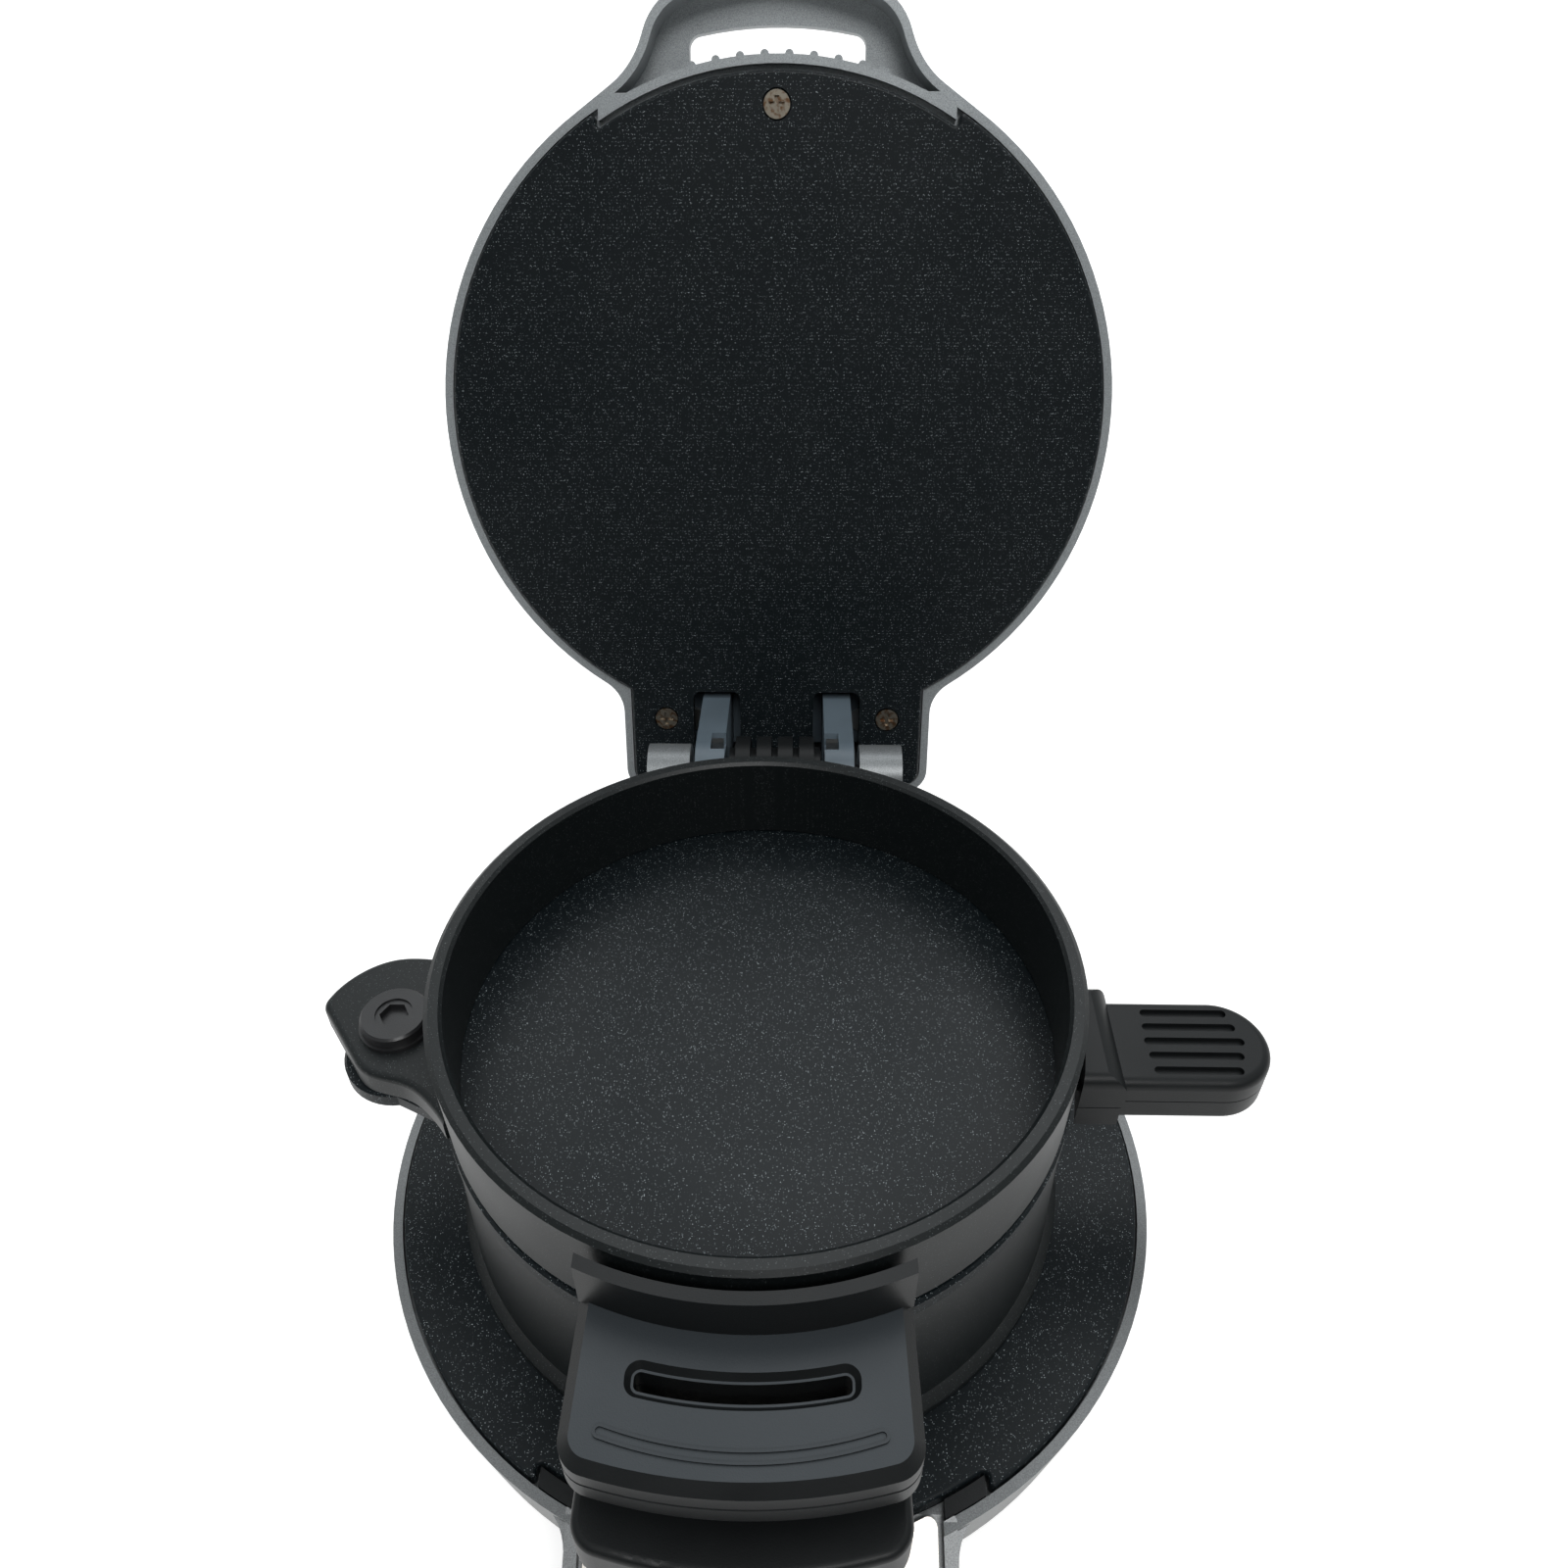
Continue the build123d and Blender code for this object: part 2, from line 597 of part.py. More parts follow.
with BuildPart() as bottom_ring:
    with BuildSketch(Plane.XZ):
        Polygon((ring_ri, bring_z0), (ring_ro + 2.4, bring_z0), (ring_ro + 2.4, bring_z0 + 1.6),
                (ring_ro + 0.8, bring_z0 + 4.0), (ring_ro, bring_z1 - 0.6),
                (ring_ro - 0.6, bring_z1), (ring_ri, bring_z1), align=None)
    revolve(axis=Axis.Z)
    # rear arms: a foot on the wall, a bar clear of the top ring, a knuckle on the rod
    for s in (-1, 1):
        with BuildSketch(side(min(s * bring_arm_x[0], s * bring_arm_x[1]))):
            Polygon((ring_ri + 1, bring_z1 - 22), (ring_ro + 3, bring_z1 - 20),
                    (rod_y + 1.0, bring_z1 - 10), (rod_y + 1.0, rod_z),
                    (ring_ro + part_gap + 0.4, rod_z), (ring_ro + part_gap + 0.4, bring_z1 - 1.5),
                    (ring_ri + 1, bring_z1 - 1.5), align=None)
        extrude(amount=bring_arm_x[1] - bring_arm_x[0])
    for s in (-1, 1):
        with BuildSketch(side(min(s * bring_arm_x[0], s * bring_arm_x[1]))):
            with Locations((rod_y, rod_z)):
                Circle(knuckle_r)
        extrude(amount=bring_arm_x[1] - bring_arm_x[0])
    # front flange under the handle
    with BuildSketch(level(flange_z)):
        with Locations((0, (flange_y - ring_ri) / 2)):
            Rectangle(2 * flange_w, -flange_y - ring_ri)
    extrude(amount=flange_t)
    with BuildSketch(level(bring_z0)):
        Circle(ring_ri)
    extrude(amount=bottom_ring_h, mode=Mode.SUBTRACT)
    with BuildSketch(side(-60)):
        with Locations((rod_y, rod_z)):
            Circle(rod_r + run_gap)
    extrude(amount=120, mode=Mode.SUBTRACT)
    with BuildSketch(level(flange_z - 1)):
        with Locations(*handle_screws):
            Circle(screw_r)
    extrude(amount=flange_t + 2, mode=Mode.SUBTRACT)
save(bottom_ring, "bottom_ring", ring=True)

# ---- top ring with the pivot ear -------------------------------------------------------------
ear_z1 = tring_z0 + ear_t
with BuildPart() as pivot_ear:
    with BuildSketch(level(tring_z0)):
        with BuildLine():
            a = Spline((pivot_x + 17.0, pivot_y + 15.0), (pivot_x + 3.0, pivot_y + 15.7),
                       (pivot_x - 4.4, pivot_y + 15.4), (pivot_x - 10.7, pivot_y + 11.5),
                       (pivot_x - 14.3, pivot_y + 5.7))
            b = TangentArc(a @ 1, (pivot_x - 13.6, pivot_y + 2.8), tangent=a % 1)
            c = Line(b @ 1, (pivot_x - 5.6, pivot_y - 7.9))
            d = TangentArc(c @ 1, (pivot_x - 2.6, pivot_y - 10.4), tangent=c % 1)
            e = Spline(d @ 1, (pivot_x + 4.6, pivot_y - 12.6), (pivot_x + 8.4, pivot_y - 15.3),
                       (pivot_x + 12.6, pivot_y - 20.0), tangents=[d % 1, (0.6, -0.8)])
            Polyline(e @ 1, (pivot_x + 24, pivot_y - 10), (pivot_x + 24, pivot_y + 15.0), a @ 0)
        make_face()
    extrude(amount=ear_t)
    fillet(pivot_ear.faces().sort_by(Axis.Z)[-1].edges().filter_by(
        lambda k: k.center().X < pivot_x + 9), 1.2)

with BuildPart() as top_ring:
    with BuildSketch(Plane.XZ):
        Polygon((ring_ri, tring_z0), (ring_ro - 0.6, tring_z0), (ring_ro, tring_z0 + 0.8),
                (ring_ro + 0.3, ring_top - 0.7), (ring_ro - 0.5, ring_top),
                (ring_ri + 0.6, ring_top), (ring_ri, ring_top - 0.6), align=None)
    revolve(axis=Axis.Z)
    # pivot ear: bulged back edge, blunt nose, hollow front edge
    add(pivot_ear.part)
    for s in (-1, 1):
        with BuildSketch(side(min(s * tring_arm_x[0], s * tring_arm_x[1]))):
            Polygon((ring_ri - 3, tring_z0), (rod_y - knuckle_r, tring_z0), (rod_y, rod_z - knuckle_r),
                    (rod_y, rod_z + knuckle_r), (ring_ri - 3, rod_z + knuckle_r + 3.0), align=None)
        extrude(amount=tring_arm_x[1] - tring_arm_x[0])
    for s in (-1, 1):
        with BuildSketch(side(min(s * tring_arm_x[0], s * tring_arm_x[1]))):
            with Locations((rod_y, rod_z)):
                Circle(knuckle_r)
        extrude(amount=tring_arm_x[1] - tring_arm_x[0])
    with BuildSketch(level(tring_z0)):
        with Locations((0, (flange_y - ring_ri) / 2)):
            Rectangle(2 * flange_w, -flange_y - ring_ri)
    extrude(amount=flange_t)
    with BuildSketch(level(tring_z0)):
        Circle(ring_ri)
    extrude(amount=top_ring_h, mode=Mode.SUBTRACT)
    with BuildSketch(side(-60)):
        with Locations((rod_y, rod_z)):
            Circle(rod_r + run_gap)
    extrude(amount=120, mode=Mode.SUBTRACT)
    with BuildSketch(level(tring_z0)):
        with Locations((pivot_x, pivot_y)):
            Circle(pivot_r)
    extrude(amount=ear_t, mode=Mode.SUBTRACT)
    # handle screws sit flush in the flange so the plate can pass below
    with BuildSketch(level(tring_z0)):
        with Locations(*handle_screws):
            Circle(screw_r)
    extrude(amount=flange_t, mode=Mode.SUBTRACT)
    with BuildSketch(level(tring_z0)):
        with Locations(*handle_screws):
            Circle(3.0)
    extrude(amount=1.6, mode=Mode.SUBTRACT)
save(top_ring, "top_ring", ring=True)


# plan of a ring handle: concentric with the ring behind, gently bowed in front
with BuildSketch() as handle_plan:
    with BuildLine():
        f = ThreePointArc((-handle_w, handle_y + 3.6), (0, handle_y), (handle_w, handle_y + 3.6))
        Polyline(f @ 1, (handle_w - 0.9, -40), (-handle_w + 0.9, -40), f @ 0)
    make_face()
    fillet(vertices().group_by(Axis.Y)[0], 4.8)
    Circle(ring_ro + 1.6, mode=Mode.SUBTRACT)

# the lower handle reaches further to the front
with BuildSketch() as lower_handle_plan:
    with BuildLine():
        f = ThreePointArc((-lower_w, handle_y - lower_reach + 3.6), (0, handle_y - lower_reach),
                          (lower_w, handle_y - lower_reach + 3.6))
        Polyline(f @ 1, (lower_w - 0.9, -40), (-lower_w + 0.9, -40), f @ 0)
    make_face()
    fillet(vertices().group_by(Axis.Y)[0], 4.8)
    Circle(ring_ro + 1.6, mode=Mode.SUBTRACT)

handle_top = tring_z0 + 9.6
handle_seam = tring_z0 + 5.0                   # joint of the two handle shells
slot_r = -handle_y - 12.8                      # middle of the curved vent slot
slot_w, slot_b = 14.9, 2.6                     # its half width and breadth
with BuildSketch() as slot_plan:
    Circle(slot_r + slot_b / 2)
    Circle(slot_r - slot_b / 2, mode=Mode.SUBTRACT)
    with Locations((0, 200)):
        Rectangle(400, 400, mode=Mode.SUBTRACT)
    with Locations((-slot_w - 50, 0), (slot_w + 50, 0)):
        Rectangle(100, 400, mode=Mode.SUBTRACT)
    fillet(vertices(), 0.9)

with BuildSketch() as slot_border:
    add(slot_plan.sketch)
    offset(amount=1.2)

with BuildLine() as finger_arc:
    ThreePointArc((-18.6, handle_y + 7.4), (0, handle_y + 4.5), (18.6, handle_y + 7.4))
with BuildSketch() as finger_line:
    SlotArc(finger_arc.edges()[0], 1.9)
    SlotArc(finger_arc.edges()[0], 1.1, mode=Mode.SUBTRACT)

# upper shell: bevelled face, slot with a slanted border, raised finger line, lip over the ring
with BuildPart() as top_ring_handle:
    with BuildSketch(level(handle_seam + 0.1)):
        add(handle_plan.sketch)
    extrude(amount=handle_top - handle_seam - 0.1)
    chamfer(top_ring_handle.faces().sort_by(Axis.Z)[-1].edges().filter_by(
        lambda k: k.center().Y < -ring_ro - 4), 1.6)
    with BuildSketch(level(handle_top - 1)):
        Circle(ring_ro + 4.2)
        Circle(ring_ro + 2.2, mode=Mode.SUBTRACT)
        with Locations((0, 200 - 48.0)):
            Rectangle(400, 400, mode=Mode.SUBTRACT)
        with Locations((-handle_w - 49.6, 0), (handle_w + 49.6, 0)):
            Rectangle(100, 400, mode=Mode.SUBTRACT)
    extrude(amount=ring_top - 0.5 - handle_top + 1)
    with BuildSketch(level(tring_z0)):
        add(slot_plan.sketch)
    extrude(amount=30, mode=Mode.SUBTRACT)
    with BuildSketch(level(handle_top)):
        add(slot_border.sketch)
    extrude(amount=-1.0, taper=40, mode=Mode.SUBTRACT)
    with BuildSketch(level(handle_top - 0.5)):
        add(finger_line.sketch)
    extrude(amount=0.8)
    with BuildSketch(level(tring_z0)):
        with Locations(*handle_screws):
            Circle(screw_r)
    extrude(amount=flange_t + 4.0, mode=Mode.SUBTRACT)
save(top_ring_handle, "top_ring_handle", ring=True)

# lower shell: closes the handle from below and takes the flange of the ring
with BuildPart() as top_handle_base:
    with BuildSketch(level(tring_z0 + 0.2)):
        add(handle_plan.sketch)
    extrude(amount=handle_seam - tring_z0 - 0.2)
    fillet(top_handle_base.faces().sort_by(Axis.Z)[0].edges().filter_by(
        lambda k: k.center().Y < -ring_ro - 4), 1.0)
    chamfer(top_handle_base.faces().sort_by(Axis.Z)[-1].edges().filter_by(
        lambda k: k.center().Y < -ring_ro - 4), 0.5)
    with BuildSketch(level(tring_z0)):
        add(slot_plan.sketch)
    extrude(amount=30, mode=Mode.SUBTRACT)
    with BuildSketch(level(tring_z0)):
        with Locations((0, (flange_y - 40) / 2)):
            Rectangle(2 * flange_w + 0.4, -flange_y - 40 + 0.4)
    extrude(amount=flange_t, mode=Mode.SUBTRACT)
    with BuildSketch(level(tring_z0)):
        with Locations(*handle_screws):
            Circle(screw_r)
    extrude(amount=30, mode=Mode.SUBTRACT)
save(top_handle_base, "top_handle_base", ring=True)

with BuildPart() as bottom_ring_handle:
    with BuildSketch(level(flange_z)):
        add(lower_handle_plan.sketch)
    extrude(amount=bring_z1 - 0.1 - flange_z)
    fillet(bottom_ring_handle.faces().sort_by(Axis.Z)[0].edges().filter_by(
        lambda k: k.center().Y < -ring_ro - 4), 2.0)
    fillet(bottom_ring_handle.faces().sort_by(Axis.Z)[-1].edges().filter_by(
        lambda k: k.center().Y < -ring_ro - 4), 1.2)
    with BuildSketch(level(flange_z - 1)):
        add(slot_plan.sketch)
    extrude(amount=30, mode=Mode.SUBTRACT)
    with BuildSketch(level(flange_z)):
        with Locations((0, (flange_y - 40) / 2)):
            Rectangle(2 * flange_w + 0.4, -flange_y - 40 + 0.4)
    extrude(amount=flange_t, mode=Mode.SUBTRACT)
    with BuildSketch(level(flange_z - 1)):
        with Locations(*handle_screws):
            Circle(screw_r)
    extrude(amount=flange_t + 4.0, mode=Mode.SUBTRACT)
save(bottom_ring_handle, "bottom_ring_handle", ring=True)


def flange_screws(z, cap_r):
    """Two screws driven up through a handle flange, heads on the level z."""
    with BuildPart() as screws:
        with BuildSketch(level(z)):
            with Locations(*handle_screws):
                Circle(cap_r)
        extrude(amount=-1.2)
        with BuildSketch(level(z - 1.2)):
            with Locations(*handle_screws):
                Rectangle(3.2, 0.8)
                Rectangle(0.8, 3.2)
        extrude(amount=0.6, mode=Mode.SUBTRACT)
        with BuildSketch(level(z)):
            with Locations(*handle_screws):
                Circle(screw_r)
        extrude(amount=5.0)
    return screws


save(flange_screws(tring_z0 + 1.6, 2.8), "top_handle_screws", ring=True)
save(flange_screws(flange_z, 2.8), "bottom_handle_screws", ring=True)

# ---- cooking plate, its pivot and its handle -------------------------------------------------
cook_r = ring_ro + 0.4
tang_x = ring_ro + 29.0
tang_w = 12.0
lobe_r = pivot_r + 7.4                          # rounded ear about the pivot
with BuildPart() as cooking_plate:
    with BuildSketch(level(cook_z0)):
        Circle(cook_r)
        with Locations((pivot_x + 0.2, pivot_y - 0.8)):
            Circle(lobe_r)
        Polygon((pivot_x + 1.6, pivot_y + lobe_r - 0.9), (pivot_x + 19.5, pivot_y + 21.5),
                (pivot_x + 19.5, pivot_y - 19.5), (pivot_x + 1.6, pivot_y - lobe_r - 0.7), align=None)
        with Locations(((tang_x + 40) / 2, grip_y)):
            Rectangle(tang_x - 40, tang_w)
    extrude(amount=cook_plate_t)
    chamfer(cooking_plate.faces().sort_by(Axis.Z)[-1].edges(), 0.5)
    with BuildSketch(level(cook_z0)):
        with Locations((pivot_x, pivot_y)):
            Circle(pivot_r + run_gap)
        with Locations((ring_ro + 9.0, grip_y), (ring_ro + 24.0, grip_y)):
            Circle(screw_r)
    extrude(amount=cook_plate_t, mode=Mode.SUBTRACT)
save(cooking_plate, "cooking_plate", ring=True)

with BuildPart() as pivot_screw:
    with BuildSketch(level(ear_z1 + 0.8)):
        with Locations((pivot_x, pivot_y)):
            Circle(6.0)
    extrude(amount=2.2)
    chamfer(pivot_screw.faces().sort_by(Axis.Z)[-1].edges(), 0.4)
    with BuildSketch(level(ear_z1 + 3.0)):
        with Locations((pivot_x, pivot_y)):
            Circle(3.3)
    extrude(amount=-0.4, mode=Mode.SUBTRACT)
    with BuildSketch(level(ear_z1 + 3.0)):
        with Locations((pivot_x, pivot_y)):
            RegularPolygon(2.6, 6)
    extrude(amount=-1.6, mode=Mode.SUBTRACT)
    with BuildSketch(level(cook_z0 - 3.6)):
        with Locations((pivot_x, pivot_y)):
            Circle(pivot_r)
    extrude(amount=ear_z1 + 0.8 - cook_z0 + 3.6)
save(pivot_screw, "pivot_screw", ring=True)

with BuildPart() as pivot_washer:
    with BuildSketch(level(ear_z1)):
        with Locations((pivot_x, pivot_y)):
            Circle(6.5)
            Circle(pivot_r, mode=Mode.SUBTRACT)
    extrude(amount=0.8)
save(pivot_washer, "pivot_washer", ring=True)

with BuildPart() as pivot_nut:
    with BuildSketch(level(cook_z0 - 0.4)):
        with Locations((pivot_x, pivot_y)):
            RegularPolygon(5.6, 6)
            Circle(pivot_r, mode=Mode.SUBTRACT)
    extrude(amount=-3.0)
save(pivot_nut, "pivot_nut", ring=True)

grip_x0, grip_x1 = ring_ro + 1.6, ring_ro + 34.7
grip_w = 18.4
collar_t, collar_h = 2.6, 2.6                  # collar beside the ring: its crest and rise
collar_w = grip_w / 2 + 1.4                    # its half width
seam_z = (cook_z0 + cook_z1) / 2
grip_top = cook_z1 + 3.4
grip_screws = [(ring_ro + 9.0, grip_y), (ring_ro + 24.0, grip_y)]


# plan of the plate handle: a wide neck by the ring, then a round-ended grip
with BuildSketch() as grip_plan:
    with Locations(((grip_x0 + grip_x1 - grip_w / 2) / 2, grip_y)):
        Rectangle(grip_x1 - grip_w / 2 - grip_x0, grip_w)
    with Locations((grip_x1 - grip_w / 2, grip_y)):
        Circle(grip_w / 2)
    with Locations((grip_x0 + 0.5, grip_y)):
        Rectangle(2 * collar_t + 5.0, 2 * collar_w)
    Circle(grip_x0, mode=Mode.SUBTRACT)


with BuildPart() as grip_collar:
    with BuildSketch(Plane.XZ.offset(-grip_y - collar_w)):
        with BuildLine():
            a = Polyline((grip_x0 - 4, seam_z + 1), (grip_x0 - 4, grip_top + collar_h),
                         (grip_x0 + collar_t, grip_top + collar_h))
            b = RadiusArc(a @ 1, (grip_x0 + collar_t + 3.4, grip_top - 0.6), 5.0)
            Polyline(b @ 1, (grip_x0 + collar_t + 3.4, seam_z + 1), a @ 0)
        make_face()
    extrude(amount=2 * collar_w)
    fillet([k for k in grip_collar.edges().filter_by(Axis.X) if k.center().Z > grip_top + 1], 2.2)
    with BuildSketch(level(seam_z)):
        Circle(grip_x0)
    extrude(amount=30, mode=Mode.SUBTRACT)

with BuildPart() as plate_handle_upper:
    with BuildSketch(level(seam_z + 0.1)):
        add(grip_plan.sketch)
    extrude(amount=grip_top - seam_z - 0.1)
    fillet(plate_handle_upper.faces().sort_by(Axis.Z)[-1].edges().filter_by(
        lambda k: k.center().X > grip_x0 + 12), 1.8)
    # collar with a hollow slope down to the grip
    add(grip_collar.part)
    # finger grooves, shorter towards the sides
    for i in range(5):
        with BuildSketch(level(grip_top)):
            with Locations((grip_x0 + 19.7 - 0.3 * abs(i - 2), grip_y + (i - 2) * 3.1)):
                SlotOverall(17.6 - 1.1 * abs(i - 2), 1.6)
        extrude(amount=-0.9, mode=Mode.SUBTRACT)
    with BuildSketch(level(seam_z)):
        with Locations(((tang_x + 40) / 2, grip_y)):
            Rectangle(tang_x - 40, tang_w)
    extrude(amount=cook_z1 - seam_z, mode=Mode.SUBTRACT)
    with BuildSketch(level(seam_z)):
        with Locations(*grip_screws):
            Circle(screw_r)
    extrude(amount=cook_z1 - seam_z + 2.0, mode=Mode.SUBTRACT)
save(plate_handle_upper, "plate_handle_upper", ring=True)

grip_bottom = cook_z0 - 3.4
with BuildPart() as plate_handle_lower:
    with BuildSketch(level(seam_z - 0.1)):
        add(grip_plan.sketch)
    extrude(amount=grip_bottom - seam_z + 0.1)
    fillet(plate_handle_lower.faces().sort_by(Axis.Z)[0].edges().filter_by(
        lambda k: k.center().X > grip_x0 + 12), 1.2)
    with BuildSketch(level(seam_z)):
        with Locations(((tang_x + 40) / 2, grip_y)):
            Rectangle(tang_x - 40, tang_w)
    extrude(amount=cook_z0 - seam_z, mode=Mode.SUBTRACT)
    with BuildSketch(level(seam_z)):
        with Locations(*grip_screws):
            Circle(screw_r)
    extrude(amount=grip_bottom - seam_z, mode=Mode.SUBTRACT)
    with BuildSketch(level(grip_bottom)):
        with Locations(*grip_screws):
            Circle(3.0)
    extrude(amount=1.4, mode=Mode.SUBTRACT)
save(plate_handle_lower, "plate_handle_lower", ring=True)

with BuildPart() as plate_handle_screws:
    with BuildSketch(level(grip_bottom + 1.4)):
        with Locations(*grip_screws):
            Circle(2.8)
    extrude(amount=-1.2)
    with BuildSketch(level(grip_bottom + 1.4)):
        with Locations(*grip_screws):
            Circle(screw_r)
    extrude(amount=cook_z1 + 1.8 - grip_bottom - 1.4)
save(plate_handle_screws, "plate_handle_screws", ring=True)

# ==== lid, drawn closed =======================================================================
lid_top = lid_rim + lid_depth
lid_roof = 3.0
lid_taper = 5.0
wall_front_r = seat_r - 0.3                    # outside of the front wall behind the handle window
lid_plate_z1 = lid_face + plate_t
lid_handle_y = -(housing_r + 13.8)
lid_handle_rim = 1.7                           # rolled edge around the handle's underside
lid_handle_t = 13.0
window_w = 18.4
lid_screws = [(0, -(notch_r - 6.2)), (-27.0, hinge_y - 5.0), (27.0, hinge_y - 5.0)]
upper_shield_z = lid_plate_z1 + 2 * tube_r + 1.6
shield_t = 0.8
shield_posts = [polar(50, a) for a in (20, 160, 270)]
arm_slot = 1.6                                 # gap between a lid arm and its slot
arm_lean = 2.3                                 # the front of an arm leans this far forward at the plate

with BuildSketch() as lid_plan:
    Circle(housing_r)
    with Locations((0, (neck_y + 20) / 2)):
        RectangleRounded(2 * neck_w, neck_y - 20, 6)
    fillet([v for v in vertices() if abs(v.Y - math.sqrt(housing_r ** 2 - neck_w ** 2)) < 0.1], 9)

# the handle flares out of the rim in a hollow curve and ends in a rounded bow
with BuildSketch() as lid_handle_plan:
    with BuildLine():
        e = Line((0.559 * housing_r, -0.829 * housing_r), (34.0, -(housing_r - 7.5)))
        f = TangentArc(e @ 1, (27.3, -(housing_r + 1.3)), tangent=e % 1)
        g = Line(f @ 1, f @ 1 + f % 1 * 0.8)
        h = TangentArc(g @ 1, (20.0, -(housing_r + 9.5)), tangent=g % 1)
        TangentArc(h @ 1, (0, lid_handle_y), tangent=h % 1)
        mirror(about=Plane.YZ)
        Polyline(e @ 0, (40, -35), (-40, -35), (-(e @ 0).X, (e @ 0).Y))
    make_face()

with BuildSketch() as handle_hollow:
    add(lid_handle_plan.sketch)
    offset(amount=-lid_handle_rim)
    Circle(wall_front_r, mode=Mode.SUBTRACT)
    with Locations((0, 100 - housing_r + 9)):
        Rectangle(300, 200, mode=Mode.SUBTRACT)

with BuildSketch() as handle_window:
    with BuildLine():
        f = ThreePointArc((-window_w, -housing_r - 2.2), (0, -housing_r - 4.2), (window_w, -housing_r - 2.2))
        Polyline(f @ 1, (window_w, -60), (-window_w, -60), f @ 0)
    make_face()
    fillet(vertices().group_by(Axis.Y)[0], 2.5)
    Circle(wall_front_r, mode=Mode.SUBTRACT)

with BuildPart() as lid_handle:
    with BuildSketch(level(lid_rim)):
        add(lid_handle_plan.sketch)
    extrude(amount=lid_handle_t)
    fillet(lid_handle.faces().sort_by(Axis.Z)[-1].edges().filter_by(lambda k: k.center().Y < -56.5), 2.0)
    with BuildSketch(level(lid_rim)):
        Circle(wall_front_r)
    extrude(amount=lid_handle_t, mode=Mode.SUBTRACT)

with BuildPart() as lid_cover:
    with BuildSketch(level(lid_rim)):
        add(lid_plan.sketch)
    extrude(amount=lid_depth, taper=lid_taper)
    fillet(lid_cover.faces().sort_by(Axis.Z)[-1].edges(), 7.0)
    # front wall steps back behind the handle window
    with BuildSketch(level(lid_rim)):
        with Locations((0, -housing_r)):
            Rectangle(2 * window_w + 20, 24)
        Circle(wall_front_r, mode=Mode.SUBTRACT)
    extrude(amount=lid_handle_t + 2, mode=Mode.SUBTRACT)
    add(lid_handle.part)
    # mouth for the heating plate, then the hollow inside
    with BuildSketch(level(lid_rim)):
        Circle(seat_r)
        with Locations((0, (neck_y - 1.8 + 20) / 2)):
            RectangleRounded(2 * (neck_w - 1.8), neck_y - 1.8 - 20, 4.2)
        add(notch_sketch.sketch, mode=Mode.SUBTRACT)
    extrude(amount=lid_plate_z1 - lid_rim + 0.6, mode=Mode.SUBTRACT)
    with BuildSketch(level(lid_rim)):
        Circle(seat_r - 3.2)
        with Locations((0, (neck_y - 4.0 + 20) / 2)):
            RectangleRounded(2 * (neck_w - 4.6), neck_y - 4.0 - 20, 3)
    extrude(amount=lid_depth - lid_roof, taper=lid_taper, mode=Mode.SUBTRACT)
    # underside of the handle, its window and the ribs on the front wall
    with BuildSketch(level(lid_rim)):
        add(handle_hollow.sketch)
    extrude(amount=lid_handle_t - 3.4, mode=Mode.SUBTRACT)
    with BuildSketch(level(lid_rim)):
        add(handle_window.sketch)
    extrude(amount=lid_handle_t + 3, mode=Mode.SUBTRACT)
    with BuildSketch(level(lid_rim + 1.0)):
        with Locations(*[polar(wall_front_r + 0.1, -90 + math.degrees(5.0 * (i - 4.5) / wall_front_r))
                         for i in range(10)]):
            Circle(0.85)
    extrude(amount=lid_handle_t - 1.4)
    # bosses for the plate screws, and posts that carry the heat shield
    with BuildSketch(level(upper_shield_z + shield_t)):
        with Locations(*shield_posts):
            Circle(3.0)
    extrude(amount=lid_top - 1.5 - upper_shield_z - shield_t)
    with BuildSketch(level(lid_plate_z1)):
        with Locations(*lid_screws):
            Circle(3.6)
    extrude(amount=lid_top - 1.5 - lid_plate_z1)
    with BuildSketch(level(lid_plate_z1 - 1)):
        with Locations(*lid_screws):
            Circle(screw_r)
    extrude(amount=7, mode=Mode.SUBTRACT)
save(lid_cover, "lid_cover", lid=True)

with BuildPart() as upper_heating_plate:
    with BuildSketch(level(lid_face)):
        add(plate_plan.sketch)
        with Locations((0, (neck_y - 2.2 + 20) / 2)):
            RectangleRounded(2 * (neck_w - 2.2), neck_y - 2.2 - 20, 4)
    extrude(amount=plate_t)
    fillet(upper_heating_plate.faces().sort_by(Axis.Z)[0].edges(), 0.6)
    for s in (-1, 1):
        with BuildSketch(level(lid_face)):
            with Locations((s * (arm_x0 + arm_x1) / 2, hinge_y - arm_lean / 2)):
                RectangleRounded(arm_x1 - arm_x0 + 3.0 * arm_slot, 2 * (arm_r + arm_slot) + arm_lean, 2.0)
        extrude(amount=plate_t, mode=Mode.SUBTRACT)
    with BuildSketch(level(lid_face)):
        with Locations(*lid_screws):
            Circle(head_r + 0.35)
    extrude(amount=1.2, mode=Mode.SUBTRACT)
    with BuildSketch(level(lid_face)):
        with Locations(*lid_screws):
            Circle(screw_r)
    extrude(amount=plate_t, mode=Mode.SUBTRACT)
save(upper_heating_plate, "upper_heating_plate", lid=True)
save(screw_set(lid_screws, lid_face + 1.2, 1), "upper_plate_screws", lid=True)

with BuildPart() as upper_heating_element:
    with BuildSketch(Plane.XZ):
        with Locations((heater_r, lid_plate_z1 + tube_r)):
            Circle(tube_r)
    revolve(axis=Axis.Z, revolution_arc=300)
    # both ends turn up through the shield
    for angle in (0, -300):
        with BuildSketch(level(lid_plate_z1 + tube_r)):
            with Locations(polar(heater_r, -angle)):
                Circle(tube_r)
        extrude(amount=9)
upper_element = upper_heating_element.part.rotate(Axis.Z, 120).rotate(hinge_axis, -open_angle)
upper_element.label = "upper_heating_element"
export_step(upper_element, "parts/upper_heating_element.step")

